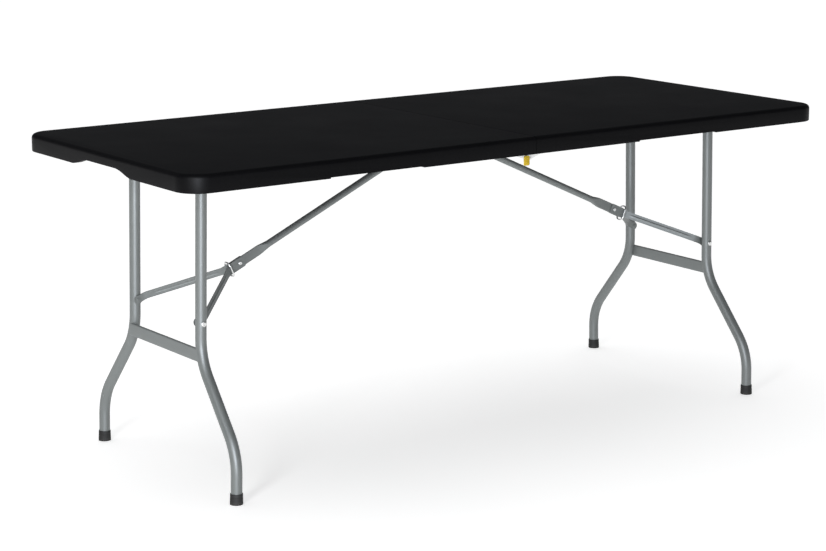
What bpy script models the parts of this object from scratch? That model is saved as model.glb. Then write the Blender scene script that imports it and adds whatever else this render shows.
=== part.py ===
"""A folding table whose legs fold under the top, and whose top folds in half like a suitcase.

Metres, +Z up, the floor at z = 0 and the origin on it, under the middle of the top. +X runs along
the table's length and Y across its width, with the front at -Y.

Each half is modelled once, in the axes of a half: +X from the fold to the table's end, and z from
the floor. The right half stands as it is modelled. The left half is the same half turned round, so
its +Y side is at the front. The latches are on the left half only, and the carry handle, the lock
studs and the outer hinge plates on the right half only.
"""

import math

import bmesh
import bpy
from mathutils import Matrix, Vector

# ---------------------------------------------------------------- the whole table
TABLE_LENGTH = 1.80
TABLE_WIDTH = 0.74
TABLE_HEIGHT = 0.735

# ---------------------------------------------------------------- clearances
GAP = 0.0003  # between pieces that rest on, or run in, each other
FOLD_GAP = 0.001  # between the two panels
FOLDED_CLEARANCE = 0.0027  # over the foot caps when the legs lie under the top
WELD = 1e-6  # points closer than this are one
CUT_PAST = 0.01  # how far a cutter sticks out of what it cuts

# ---------------------------------------------------------------- moulded panels
RIM_DEPTH = 0.040
RIM_THICKNESS = 0.014
FOLD_RIM_THICKNESS = 0.012
SLAB_THICKNESS = 0.016
SKIN = 0.0025
CORNER_RADIUS = 0.055
TOP_EDGE_ROUND = 0.007
RIM_EDGE_ROUND = 0.002
SCALLOP_FLAT = 0.12
SCALLOP_RAMP = 0.08
SCALLOP_DEPTH = 0.015
RELIEF_START = 0.31
RELIEF_END = 0.555
RELIEF_DEPTH = 0.003
CHANNEL_HALF_WIDTH = 0.074  # in the slab's underside, for the folded braces
CHANNEL_END = 0.665
CHANNEL_DEPTH = 0.0095
BLOW_HOLE_RADIUS = 0.004
BLOW_HOLE_AT = (0.45, 0.25)

# ---------------------------------------------------------------- steel frame under each half
LATCH_SPACE = 0.013  # between a rail and the rim, for the latch
RAIL_WIDTH = 0.020
RAIL_HEIGHT = 0.025
RAIL_WALL = 0.0012
RAIL_START = 0.002
RAIL_PAST_PIVOT = 0.037
CROSSBAR_RADIUS = 0.006
CROSSBAR_WALL = 0.0012
CROSSBAR_FROM_FOLD = 0.0235
CROSSBAR_BELOW_SLAB = 0.0083

# ---------------------------------------------------------------- centre hinge
HINGE_BELOW_RIM = 0.007
HINGE_LOBE_RADIUS = 0.009
HINGE_PLATE_THICKNESS = 0.0025
HINGE_PLATE_LENGTH = 0.075
HINGE_GUSSET_LENGTH = 0.040
HINGE_PIN_RADIUS = 0.0035
HINGE_PIN_HEAD_RADIUS = 0.006
HINGE_PIN_HEAD_HEIGHT = 0.0015

# ---------------------------------------------------------------- centre latch
LATCH_FROM_FOLD = 0.0125
LATCH_ABOVE_HINGE = 0.0125
LATCH_REACH = 0.022  # from the latch's pivot to the stud it hooks over
LATCH_LENGTH = 0.0325
LATCH_WIDTH = 0.010
LATCH_THICKNESS = 0.002
LATCH_STANDOFF = 0.0004  # between the outer hinge plate and the lever
LATCH_RIVET_RADIUS = 0.002
LATCH_RIVET_HEAD_RADIUS = 0.004
LATCH_RIVET_HEAD_HEIGHT = 0.001
LATCH_SLOT_WIDTH = 0.0072
STUD_RADIUS = 0.0025
STUD_SHANK_RADIUS = 0.0015
GRIP_START = 0.0105
GRIP_WIDTH = 0.015
GRIP_THICKNESS = 0.005
GRIP_CORNER = 0.003

# ---------------------------------------------------------------- legs
LEG_SETBACK = 0.162  # from the table's end to the leg pivot
LEG_RADIUS = 0.0125
LEG_WALL = 0.0012
LEG_SPLAY = math.radians(1.45)
LEG_OUTSET = 0.150  # how far a foot stands outside the top of its leg
LEG_BEND = math.radians(40)
LEG_BEND_RADIUS = 0.130
FOOT_STRAIGHT = 0.0618  # from the lower bend to the floor
FOOT_SIDE_GAP = 0.0125  # between a folded foot and the rail
FOOT_WALL = 0.002
FOOT_TAPER = 0.0005
FOOT_HEIGHT = 0.024
FOOT_FLOOR = 0.004
PIVOT_TUBE_RADIUS = 0.0125
PIVOT_TUBE_WALL = 0.0012
PIVOT_STUB_RADIUS = 0.0045
PIVOT_STUB_PAST_WALL = 0.0118
PIVOT_DRAIN_RADIUS = 0.0025
BUSH_RADIUS = 0.006
BUSH_FLANGE_RADIUS = 0.009
BUSH_FLANGE_THICKNESS = 0.0015
BUSH_PAST_WALL = 0.002
BUSH_BORE_CLEARANCE = 0.0002
CROSSBRACE_BELOW_BEND = 0.037
CROSSBRACE_HEIGHT = 0.030
CROSSBRACE_THICKNESS = 0.0065
CROSSBRACE_WALL = 0.0012

# ---------------------------------------------------------------- folding brace of each leg frame
ANCHOR_FROM_FOLD = 0.023
ANCHOR_BELOW_SLAB = 0.026
ARM_ABOVE_BEND = 0.032
KNEE_FOLDED_DROP = 0.0037  # of the knee under the slab, once folded into the channel
BRACE_RADIUS = 0.008
BRACE_WALL = 0.0012
BRACE_FLAT_THICKNESS = 0.0035
BRACE_FLAT_HEIGHT = 0.024
BRACE_TOP_END_RADIUS = 0.010
BRACE_TOP_FLAT = 0.018
BRACE_KNEE_FLAT = 0.055
BRACE_TAPER = 0.030
BRACE_TAIL = 0.034
BRACE_DRAIN_RADIUS = 0.0015
ARM_THICKNESS = 0.002
ARM_HEIGHT = 0.017
ARM_TAIL = 0.013
ARM_PARALLEL = 0.030
ARM_LEG_FLAT = 0.020
ARM_LEG_GAP = 0.0005
ARM_KNEE_RADIUS = 0.0125
ARM_KNEE_STRAIGHT = 0.024
ARM_NECK = 0.045
ARM_LEG_END_RADIUS = 0.010
ARM_BOSS_RADIUS = 0.005
ARM_BOSS_HEIGHT = 0.0015
RIVET_RADIUS = 0.003
RIVET_HEAD_RADIUS = 0.006
RIVET_HEAD_HEIGHT = 0.002
BRACKET_THICKNESS = 0.002
BRACKET_RADIUS = 0.009
BRACKET_TOP_BELOW_SLAB = 0.0065
BRACKET_MOUTH_CLEARANCE = 0.0025
BRACKET_FLARE = 0.002
RING_WIRE_RADIUS = 0.0015
RING_SIDE_CLEARANCE = 0.0015
RING_END_CLEARANCE = 0.0037
RING_PAST_KNEE = 0.029

# ---------------------------------------------------------------- carry handle
HANDLE_FROM_RIM = 0.012
HANDLE_BELOW_SLAB = 0.0155
HANDLE_WIDTH = 0.110
HANDLE_REACH = 0.030
HANDLE_RADIUS = 0.004
HANDLE_CORNER = 0.012
HANDLE_EYE_RADIUS = 0.006
HANDLE_EYE_WIDTH = 0.0075
HANDLE_PIN_RADIUS = 0.003
HANDLE_PIN_LENGTH = 0.005
HANDLE_BRACKET_WIDTH = 0.010
HANDLE_BRACKET_GAP = 0.0015

# ---------------------------------------------------------------- fineness of round shapes
ROUND_SIDES = 12
BAR_SIDES = 16
TUBE_BEVEL = 5  # 14 sides
WIRE_BEVEL = 2  # 8 sides
TUBE_SIDES = 2 * (TUBE_BEVEL + 2)
ARC_STEPS = 8
BEND_STEPS = 6
SMOOTH_ANGLE = math.radians(32)

# ---------------------------------------------------------------- places that follow from the sizes
HALF_LENGTH = TABLE_LENGTH / 2
HALF_WIDTH = TABLE_WIDTH / 2
RIM_BOTTOM = TABLE_HEIGHT - RIM_DEPTH
SLAB_UNDERSIDE = TABLE_HEIGHT - SLAB_THICKNESS
RIM_INNER = HALF_WIDTH - RIM_THICKNESS
POCKET_START = FOLD_GAP / 2 + FOLD_RIM_THICKNESS
POCKET_END = HALF_LENGTH - RIM_THICKNESS
RAIL_OUTER = RIM_INNER - LATCH_SPACE
RAIL_INNER = RAIL_OUTER - RAIL_WIDTH
RAIL_TOP = SLAB_UNDERSIDE - GAP
RAIL_BOTTOM = RAIL_TOP - RAIL_HEIGHT
FOLD_RIM_HALF = RAIL_INNER - FOLD_RIM_THICKNESS
CROSSBAR_Z = SLAB_UNDERSIDE - CROSSBAR_BELOW_SLAB
HINGE_Z = RIM_BOTTOM - HINGE_BELOW_RIM
INNER_PLATE = (RAIL_INNER - GAP - HINGE_PLATE_THICKNESS, RAIL_INNER - GAP)
OUTER_PLATE = (RAIL_OUTER + GAP, RAIL_OUTER + GAP + HINGE_PLATE_THICKNESS)
LATCH_Z = HINGE_Z + LATCH_ABOVE_HINGE
LATCH_INNER = OUTER_PLATE[1] + LATCH_STANDOFF
LATCH_OUTER = LATCH_INNER + LATCH_THICKNESS
STUD_FROM_FOLD = LATCH_REACH - LATCH_FROM_FOLD
LEG_PIVOT_X = HALF_LENGTH - LEG_SETBACK
FOOT_RADIUS = LEG_RADIUS + FOOT_WALL
FOOT_TOP_RADIUS = FOOT_RADIUS - FOOT_TAPER
LEG_PIVOT_Z = SLAB_UNDERSIDE - FOLDED_CLEARANCE - FOOT_RADIUS
LEG_PLACE = Matrix.Translation((LEG_PIVOT_X, 0, LEG_PIVOT_Z)) @ Matrix.Rotation(-LEG_SPLAY, 4, "Y")
RAIL_END = LEG_PIVOT_X + RAIL_PAST_PIVOT
FOOT_Y = RAIL_INNER - FOOT_SIDE_GAP - FOOT_RADIUS
LEG_TOP_Y = FOOT_Y - LEG_OUTSET
LEG_DROP = LEG_PIVOT_Z / math.cos(LEG_SPLAY)
LEG_STRAIGHT = (LEG_OUTSET - 2 * LEG_BEND_RADIUS * (1 - math.cos(LEG_BEND))) / math.sin(LEG_BEND)
BEND_END_DROP = LEG_DROP - FOOT_STRAIGHT
BEND_DROP = (
    BEND_END_DROP - 2 * LEG_BEND_RADIUS * math.sin(LEG_BEND) - LEG_STRAIGHT * math.cos(LEG_BEND)
)
ARM_DROP = BEND_DROP - ARM_ABOVE_BEND
CROSSBRACE_DROP = BEND_DROP + CROSSBRACE_BELOW_BEND
ANCHOR = Vector((ANCHOR_FROM_FOLD, SLAB_UNDERSIDE - ANCHOR_BELOW_SLAB))
ARM_FOOT = Vector((
    LEG_PIVOT_X + ARM_DROP * math.sin(LEG_SPLAY),
    LEG_PIVOT_Z - ARM_DROP * math.cos(LEG_SPLAY),
))
ARM_FOOT_FOLDED = Vector((LEG_PIVOT_X - ARM_DROP, LEG_PIVOT_Z))
EAR_INNER = BRACE_FLAT_THICKNESS / 2 + GAP
ARM_KNEE_Y = BRACE_FLAT_THICKNESS / 2 + GAP + ARM_THICKNESS / 2
ARM_LEG_Y = LEG_TOP_Y - LEG_RADIUS - ARM_LEG_GAP - ARM_THICKNESS / 2
HANDLE_X = POCKET_END - HANDLE_FROM_RIM
HANDLE_Z = SLAB_UNDERSIDE - HANDLE_BELOW_SLAB


def folded_knee(arm_length):
    """Where the knee of a folded brace lies, in (x, z), if its arms are this long."""
    tube_length = (ANCHOR - ARM_FOOT).length - arm_length
    span = ARM_FOOT_FOLDED - ANCHOR
    along = (tube_length**2 - arm_length**2 + span.length**2) / (2 * span.length)
    off = math.sqrt(max(tube_length**2 - along**2, 0))
    ahead = span.normalized()
    above = Vector((-ahead.y, ahead.x))
    return ANCHOR + ahead * along + above * off


def flat_folding_arm_length():
    """The arm length with which the brace folds flat, its knee up in the slab's channel."""
    straight = (ANCHOR - ARM_FOOT).length
    shortest = (straight - (ARM_FOOT_FOLDED - ANCHOR).length) / 2
    longest = shortest + 0.05
    for _ in range(60):
        middle = (shortest + longest) / 2
        if folded_knee(middle).y < SLAB_UNDERSIDE - KNEE_FOLDED_DROP:
            shortest = middle
        else:
            longest = middle
    return middle


ARM_LENGTH = flat_folding_arm_length()
BRACE_LENGTH = (ANCHOR - ARM_FOOT).length - ARM_LENGTH
BRACE_SLOPE = math.atan2(ANCHOR.y - ARM_FOOT.y, ARM_FOOT.x - ANCHOR.x)


# ---------------------------------------------------------------- workshop
def clear_scene():
    for obj in list(bpy.data.objects):
        bpy.data.objects.remove(obj, do_unlink=True)


def new_collection(name):
    made = bpy.data.collections.new(name)
    bpy.context.scene.collection.children.link(made)
    return made


def new_material(name, colour, roughness, metallic=0.0):
    made = bpy.data.materials.new(name)
    made.use_nodes = True
    shader = made.node_tree.nodes["Principled BSDF"]
    shader.inputs["Base Color"].default_value = (*colour, 1.0)
    shader.inputs["Roughness"].default_value = roughness
    shader.inputs["Metallic"].default_value = metallic
    return made


clear_scene()
TABLE = new_collection("folding_table")
CUTTERS = new_collection("cutters")
CUTTERS.hide_render = True
BLACK_MOULDED = new_material("black_moulded_plastic", (0.012, 0.012, 0.014), 0.55)
GREY_COAT = new_material("grey_powder_coat", (0.27, 0.29, 0.29), 0.42, 0.2)
BRIGHT_ZINC = new_material("bright_zinc", (0.62, 0.62, 0.60), 0.30, 1.0)
YELLOW_PLASTIC = new_material("yellow_plastic", (0.80, 0.60, 0.02), 0.45)
BLACK_RUBBER = new_material("black_rubber", (0.015, 0.015, 0.015), 0.75)
BLACK_NYLON = new_material("black_nylon", (0.02, 0.02, 0.02), 0.50)


def add_object(name, data):
    made = bpy.data.objects.new(name, data)
    TABLE.objects.link(made)
    return made


def as_mesh(obj, place=Matrix()):
    """The object's evaluated shape as a plain mesh, welded, facing out and moved by a matrix."""
    name = obj.name
    bpy.context.view_layer.update()
    evaluated = obj.evaluated_get(bpy.context.evaluated_depsgraph_get())
    mesh = bpy.data.meshes.new_from_object(evaluated)
    bpy.data.objects.remove(obj)
    bm = bmesh.new()
    bm.from_mesh(mesh)
    bmesh.ops.remove_doubles(bm, verts=bm.verts, dist=WELD)
    bmesh.ops.recalc_face_normals(bm, faces=bm.faces)
    bm.to_mesh(mesh)
    bm.free()
    mesh.transform(place)
    return add_object(name, mesh)


def from_bmesh(name, bm):
    mesh = bpy.data.meshes.new(name)
    bm.to_mesh(mesh)
    bm.free()
    return add_object(name, mesh)


def block(name, low, high):
    """A box between two corners, given in any order."""
    low, high = Vector(low), Vector(high)
    size = [abs(side) for side in high - low]
    bm = bmesh.new()
    place = Matrix.Translation((low + high) / 2) @ Matrix.Diagonal((*size, 1))
    bmesh.ops.create_cube(bm, size=1, matrix=place)
    return from_bmesh(name, bm)


def rod(name, start, end, radius, sides=ROUND_SIDES):
    """A round bar between two points."""
    start, end = Vector(start), Vector(end)
    axis = end - start
    place = Matrix.Translation((start + end) / 2) @ axis.to_track_quat("Z", "Y").to_matrix().to_4x4()
    bm = bmesh.new()
    bmesh.ops.create_cone(
        bm, cap_ends=True, segments=sides, radius1=radius, radius2=radius,
        depth=axis.length, matrix=place,
    )
    return from_bmesh(name, bm)


def drill(name, start, end, radius, sides=ROUND_SIDES):
    """A cutter whose flats, and not only its corners, clear a bar of this radius."""
    return rod(name, start, end, radius / math.cos(math.pi / sides), sides)


def arc(centre, radius, start, end, steps=ARC_STEPS):
    """Points on a circle from one angle to another, in degrees."""
    angles = [math.radians(start + (end - start) * step / steps) for step in range(steps + 1)]
    return [
        (centre[0] + radius * math.cos(angle), centre[1] + radius * math.sin(angle))
        for angle in angles
    ]


def rounded_box(low, high, radius, steps=ARC_STEPS):
    """A rectangle's outline with round corners."""
    corners = (
        ((low[0] + radius, low[1] + radius), 180),
        ((high[0] - radius, low[1] + radius), 270),
        ((high[0] - radius, high[1] - radius), 0),
        ((low[0] + radius, high[1] - radius), 90),
    )
    return [point for centre, turn in corners for point in arc(centre, radius, turn, turn + 90, steps)]


AXES = {
    "X": Matrix(((0, 0, 1, 0), (1, 0, 0, 0), (0, 1, 0, 0), (0, 0, 0, 1))),
    "Y": Matrix.Rotation(math.pi / 2, 4, "X"),
    "Z": Matrix(),
}


def prism(name, outline, axis, start, end):
    """A flat outline with a thickness along an axis: (y, z) for X, (x, z) for Y and (x, y) for Z."""
    curve = bpy.data.curves.new(name, "CURVE")
    curve.dimensions = "2D"
    curve.fill_mode = "BOTH"
    curve.extrude = abs(end - start) / 2
    spline = curve.splines.new("POLY")
    spline.points.add(len(outline) - 1)
    for point, (across, up) in zip(spline.points, outline):
        point.co = (across, up, 0, 1)
    spline.use_cyclic_u = True
    shift = Vector([(start + end) / 2 if letter == axis else 0 for letter in "XYZ"])
    return as_mesh(add_object(name, curve), Matrix.Translation(shift) @ AXES[axis])


def tube(name, path, radius, bevel=TUBE_BEVEL, cyclic=False):
    """A round bar that follows a path."""
    curve = bpy.data.curves.new(name, "CURVE")
    curve.dimensions = "3D"
    curve.bevel_depth = radius
    curve.bevel_resolution = bevel
    curve.use_fill_caps = not cyclic
    spline = curve.splines.new("POLY")
    spline.points.add(len(path) - 1)
    for point, place in zip(spline.points, path):
        point.co = (*place, 1)
    spline.use_cyclic_u = cyclic
    return as_mesh(add_object(name, curve))


def turned(name, profile, place, closed=False, sides=ROUND_SIDES):
    """A profile of (radius, height) points turned about Z, then moved by a matrix."""
    count = len(profile)
    edges = [(index, (index + 1) % count) for index in range(count if closed else count - 1)]
    mesh = bpy.data.meshes.new(name)
    mesh.from_pydata([(radius, 0, height) for radius, height in profile], edges, [])
    piece = add_object(name, mesh)
    screw = piece.modifiers.new("turn", "SCREW")
    screw.steps = screw.render_steps = sides
    screw.use_merge_vertices = True
    screw.merge_threshold = WELD
    return as_mesh(piece, place)


def across(side_sign, x=0.0, z=0.0):
    """Stands a turned piece's axis across the table, so that its heights run out to this side."""
    return Matrix.Translation((x, 0, z)) @ Matrix.Rotation(-side_sign * math.pi / 2, 4, "X")


def cut(piece, *cutters, operation="DIFFERENCE"):
    for cutter in cutters:
        modifier = piece.modifiers.new(cutter.name, "BOOLEAN")
        modifier.operation = operation
        modifier.solver = "EXACT"
        modifier.object = cutter
        cutter.hide_render = True
        cutter.display_type = "WIRE"
        TABLE.objects.unlink(cutter)
        CUTTERS.objects.link(cutter)


def join(piece, *others):
    cut(piece, *others, operation="UNION")


def pivot(name, location, parent=None, rotation=(0, 0, 0)):
    """An empty on a joint's axis."""
    empty = add_object(name, None)
    empty.empty_display_size = 0.03
    empty.parent = parent
    empty.location = location
    empty.rotation_euler = rotation
    bpy.context.view_layer.update()
    return empty


def fit(piece, finish, carrier, place=None):
    """Give a piece its finish, and hand it and its cutters to the empty that carries it.

    place takes the axes that it was modelled in to the world, if they aren't the empty's own.
    """
    to_carrier = carrier.matrix_world.inverted() @ place if place else Matrix()
    for obj in [piece] + [modifier.object for modifier in piece.modifiers]:
        obj.data.transform(to_carrier)
        obj.parent = carrier
    piece.data.materials.clear()
    piece.data.materials.append(finish)
    piece.data.shade_smooth()
    piece.data.set_sharp_from_angle(angle=SMOOTH_ANGLE)


# ---------------------------------------------------------------- moulded panels
def pocket_outline(inset):
    """The recess under a half, seen from above, drawn in by an inset."""
    low = (POCKET_START + inset, -RIM_INNER + inset)
    high = (POCKET_END - inset, RIM_INNER - inset)
    radius = CORNER_RADIUS - RIM_THICKNESS - inset
    return (
        [(low[0], low[1])]
        + arc((high[0] - radius, low[1] + radius), radius, -90, 0)
        + arc((high[0] - radius, high[1] - radius), radius, 0, 90)
        + [(low[0], high[1])]
    )


def cavity_outline():
    """The hollow between the slab's skins, drawn in from the recess and kept clear of the channel."""
    outline = pocket_outline(RIM_THICKNESS)
    start = outline[0][0]
    side = CHANNEL_HALF_WIDTH + SKIN
    end = CHANNEL_END + SKIN
    return outline + [(start, side), (end, side), (end, -side), (start, -side)]


def scallop_outline():
    """The hand hold in an end rim, in (y, z): flat in the middle, with a soft ramp each side."""
    half = SCALLOP_FLAT / 2
    shares = [step / ARC_STEPS for step in range(ARC_STEPS + 1)]
    ramp = [
        (half + SCALLOP_RAMP * share, RIM_BOTTOM + SCALLOP_DEPTH * (1 + math.cos(math.pi * share)) / 2)
        for share in shares
    ]
    foot = half + SCALLOP_RAMP
    below = [(foot, RIM_BOTTOM - CUT_PAST), (-foot, RIM_BOTTOM - CUT_PAST)]
    return ramp + below + [(-y, z) for y, z in reversed(ramp)]


def round_panel_edges(panel):
    """Round the outer edges, a larger radius above and a smaller one below; the fold stays square."""
    bm = bmesh.new()
    bm.from_mesh(panel.data)
    bmesh.ops.dissolve_limit(bm, angle_limit=math.radians(1), verts=bm.verts, edges=bm.edges)
    for level, radius, steps in ((TABLE_HEIGHT, TOP_EDGE_ROUND, 3), (RIM_BOTTOM, RIM_EDGE_ROUND, 1)):
        edges = [
            edge for edge in bm.edges
            if all(abs(vert.co.z - level) < WELD for vert in edge.verts)
            and any(vert.co.x > FOLD_GAP for vert in edge.verts)
        ]
        bmesh.ops.bevel(bm, geom=edges, offset=radius, segments=steps, profile=0.5, affect="EDGES")
    bm.to_mesh(panel.data)
    bm.free()


def make_panel(name, carrier, place):
    inner_edge = FOLD_GAP / 2
    corner = HALF_LENGTH - CORNER_RADIUS
    outline = (
        [(inner_edge, -HALF_WIDTH)]
        + arc((corner, -HALF_WIDTH + CORNER_RADIUS), CORNER_RADIUS, -90, 0)
        + arc((corner, HALF_WIDTH - CORNER_RADIUS), CORNER_RADIUS, 0, 90)
        + [(inner_edge, HALF_WIDTH)]
    )
    panel = prism(f"top_panel_{name}", outline, "Z", RIM_BOTTOM, TABLE_HEIGHT)
    round_panel_edges(panel)
    below = RIM_BOTTOM - CUT_PAST
    hole = (*BLOW_HOLE_AT, below)
    cavity = (SLAB_UNDERSIDE + SKIN, TABLE_HEIGHT - SKIN)
    cut(
        panel,
        prism(f"recess_{name}", pocket_outline(0), "Z", below, SLAB_UNDERSIDE),
        block(
            f"channel_{name}", (POCKET_START, -CHANNEL_HALF_WIDTH, below),
            (CHANNEL_END, CHANNEL_HALF_WIDTH, SLAB_UNDERSIDE + CHANNEL_DEPTH),
        ),
        prism(f"cavity_{name}", cavity_outline(), "Z", *cavity),
        rod(f"blow_hole_{name}", hole, (*BLOW_HOLE_AT, sum(cavity) / 2), BLOW_HOLE_RADIUS),
        prism(
            f"scallop_{name}", scallop_outline(), "X", POCKET_END - GAP, HALF_LENGTH + CUT_PAST
        ),
    )
    for sign in (-1, 1):
        cut(
            panel,
            block(
                f"hinge_opening_{name}_{sign}",
                (inner_edge - CUT_PAST, sign * FOLD_RIM_HALF, below),
                (POCKET_START + GAP, sign * RIM_INNER, SLAB_UNDERSIDE),
            ),
            block(
                f"relief_{name}_{sign}",
                (RELIEF_START, sign * (RIM_INNER - GAP), below),
                (RELIEF_END, sign * (HALF_WIDTH + CUT_PAST), RIM_BOTTOM + RELIEF_DEPTH),
            ),
        )
    fit(panel, BLACK_MOULDED, carrier, place)


# ---------------------------------------------------------------- steel frame
def make_rail(name, sign, carrier, place, outer_hole):
    """A box tube beside the rim. outer_hole is the radius and place of the hole for latch or stud."""
    rail = block(
        f"side_rail_{name}",
        (RAIL_START, sign * RAIL_INNER, RAIL_BOTTOM),
        (RAIL_END, sign * RAIL_OUTER, RAIL_TOP),
    )
    radius, x = outer_hole
    middle = (RAIL_INNER + RAIL_OUTER) / 2
    cut(
        rail,
        block(
            f"rail_bore_{name}",
            (RAIL_START - CUT_PAST, sign * (RAIL_INNER + RAIL_WALL), RAIL_BOTTOM + RAIL_WALL),
            (RAIL_END + CUT_PAST, sign * (RAIL_OUTER - RAIL_WALL), RAIL_TOP - RAIL_WALL),
        ),
        drill(
            f"bush_hole_{name}",
            (LEG_PIVOT_X, sign * (RAIL_INNER - CUT_PAST), LEG_PIVOT_Z),
            (LEG_PIVOT_X, sign * middle, LEG_PIVOT_Z),
            BUSH_RADIUS + GAP,
        ),
        drill(
            f"latch_hole_{name}",
            (x, sign * middle, LATCH_Z),
            (x, sign * (RAIL_OUTER + CUT_PAST), LATCH_Z),
            radius + GAP,
        ),
    )
    fit(rail, GREY_COAT, carrier, place)


def make_bush(name, sign, carrier, place):
    """A flanged bush in a rail's inner wall, in which a leg frame's stub turns."""
    bore = (PIVOT_STUB_RADIUS + BUSH_BORE_CLEARANCE) / math.cos(math.pi / ROUND_SIDES)
    flange = RAIL_INNER - GAP - BUSH_FLANGE_THICKNESS
    shoulder = RAIL_INNER - GAP
    end = RAIL_INNER + RAIL_WALL + BUSH_PAST_WALL
    profile = [
        (bore, flange), (BUSH_FLANGE_RADIUS, flange), (BUSH_FLANGE_RADIUS, shoulder),
        (BUSH_RADIUS, shoulder), (BUSH_RADIUS, end), (bore, end),
    ]
    bush = turned(f"pivot_bush_{name}", profile, across(sign, LEG_PIVOT_X, LEG_PIVOT_Z), closed=True)
    fit(bush, BLACK_NYLON, carrier, place)


def make_crossbar(name, half_length, carrier, place):
    """A tube between the rails, close to the fold."""
    end = Vector((CROSSBAR_FROM_FOLD, half_length, CROSSBAR_Z))
    start = Vector((CROSSBAR_FROM_FOLD, -half_length, CROSSBAR_Z))
    past = Vector((0, CUT_PAST, 0))
    bore = CROSSBAR_RADIUS - CROSSBAR_WALL
    bar = rod(f"crossbar_{name}", start, end, CROSSBAR_RADIUS, BAR_SIDES)
    cut(bar, rod(f"crossbar_bore_{name}", start - past, end + past, bore, BAR_SIDES))
    fit(bar, GREY_COAT, carrier, place)


def make_brace_bracket(name, carrier, place):
    """A clevis under the crossbar: two ears with the brace between them, joined over its end."""
    top = SLAB_UNDERSIDE - BRACKET_TOP_BELOW_SLAB
    past = BRACKET_RADIUS + CUT_PAST
    outline = arc(ANCHOR, BRACKET_RADIUS, -180, 0) + [
        (ANCHOR.x + BRACKET_RADIUS + BRACKET_FLARE, top), (ANCHOR.x - BRACKET_RADIUS, top),
    ]
    ear_outer = EAR_INNER + BRACKET_THICKNESS
    bracket = prism(f"brace_bracket_{name}", outline, "Y", -ear_outer, ear_outer)
    crossbar = Vector((CROSSBAR_FROM_FOLD, CUT_PAST, CROSSBAR_Z))
    cut(
        bracket,
        block(
            f"bracket_mouth_{name}",
            (ANCHOR.x - past, -EAR_INNER, ANCHOR.y - past),
            (
                ANCHOR.x + past, EAR_INNER,
                ANCHOR.y + BRACE_TOP_END_RADIUS + BRACKET_MOUTH_CLEARANCE,
            ),
        ),
        drill(
            f"bracket_saddle_{name}", crossbar, crossbar * Vector((1, -1, 1)),
            CROSSBAR_RADIUS + GAP, BAR_SIDES,
        ),
        drill(
            f"bracket_hole_{name}",
            (ANCHOR.x, -CUT_PAST, ANCHOR.y), (ANCHOR.x, CUT_PAST, ANCHOR.y), RIVET_RADIUS + GAP,
        ),
    )
    fit(bracket, GREY_COAT, carrier, place)


def rivet_profile(grip):
    """A rivet's profile from its middle out: half the shank and one domed head."""
    return [
        (RIVET_RADIUS, grip), (RIVET_HEAD_RADIUS, grip),
        (RIVET_HEAD_RADIUS, grip + 0.4 * RIVET_HEAD_HEIGHT),
        (0.6 * RIVET_HEAD_RADIUS, grip + RIVET_HEAD_HEIGHT), (0, grip + RIVET_HEAD_HEIGHT),
    ]


def make_through_rivet(name, grip, carrier, place=None, x=0.0, z=0.0):
    """A rivet across the table's middle line, with a head at each end of its grip."""
    head = rivet_profile(grip)
    profile = [(radius, -height) for radius, height in reversed(head)] + head
    fit(turned(name, profile, across(1, x, z)), BRIGHT_ZINC, carrier, place)


# ---------------------------------------------------------------- centre hinge and latch
def make_hinge_plate(name, sign, layer, carrier, place, stud_hole=False):
    """A flat plate along a rail with a lobe that hangs under the rim for the hinge pin."""
    top = RAIL_TOP - RAIL_WALL
    outline = (
        arc((0, HINGE_Z), HINGE_LOBE_RADIUS, 150, 300)
        + [(HINGE_GUSSET_LENGTH, RAIL_BOTTOM), (HINGE_PLATE_LENGTH, RAIL_BOTTOM)]
        + [(HINGE_PLATE_LENGTH, top), (RAIL_START, top)]
    )
    inner, outer = layer
    plate = prism(f"hinge_plate_{name}", outline, "Y", sign * inner, sign * outer)
    near, far = sign * (inner - CUT_PAST), sign * (outer + CUT_PAST)
    cut(plate, drill(f"pin_hole_{name}", (0, near, HINGE_Z), (0, far, HINGE_Z), HINGE_PIN_RADIUS + GAP))
    if stud_hole:
        at = [(STUD_FROM_FOLD, y, LATCH_Z) for y in (near, far)]
        cut(plate, drill(f"stud_hole_{name}", *at, STUD_SHANK_RADIUS + GAP))
    fit(plate, BRIGHT_ZINC, carrier, place)


def make_hinge_pin(name, sign, carrier, place):
    """A pin through both plates, with its head on the inner side."""
    shoulder = INNER_PLATE[0] - GAP
    profile = [
        (0, shoulder - HINGE_PIN_HEAD_HEIGHT), (HINGE_PIN_HEAD_RADIUS, shoulder - HINGE_PIN_HEAD_HEIGHT),
        (HINGE_PIN_HEAD_RADIUS, shoulder), (HINGE_PIN_RADIUS, shoulder),
        (HINGE_PIN_RADIUS, OUTER_PLATE[1]), (0, OUTER_PLATE[1]),
    ]
    fit(turned(f"hinge_pin_{name}", profile, across(sign, 0, HINGE_Z)), BRIGHT_ZINC, carrier, place)


def make_latch_rivet(name, sign, carrier, place):
    """The latch's pivot: a tail inside the rail, a spacer, and a flat head over the lever."""
    wall = RAIL_OUTER - RAIL_WALL
    tail, spacer, head = wall - GAP, RAIL_OUTER + GAP, LATCH_OUTER + GAP
    big, small = LATCH_RIVET_HEAD_RADIUS, LATCH_RIVET_RADIUS
    profile = [
        (0, tail - LATCH_RIVET_HEAD_HEIGHT), (big, tail - LATCH_RIVET_HEAD_HEIGHT), (big, tail),
        (small, tail), (small, spacer), (big, spacer), (big, LATCH_INNER - GAP),
        (small, LATCH_INNER - GAP), (small, head), (big, head),
        (big, head + LATCH_RIVET_HEAD_HEIGHT), (0, head + LATCH_RIVET_HEAD_HEIGHT),
    ]
    rivet = turned(f"latch_rivet_{name}", profile, across(sign, LATCH_FROM_FOLD, LATCH_Z))
    fit(rivet, BRIGHT_ZINC, carrier, place)


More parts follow.
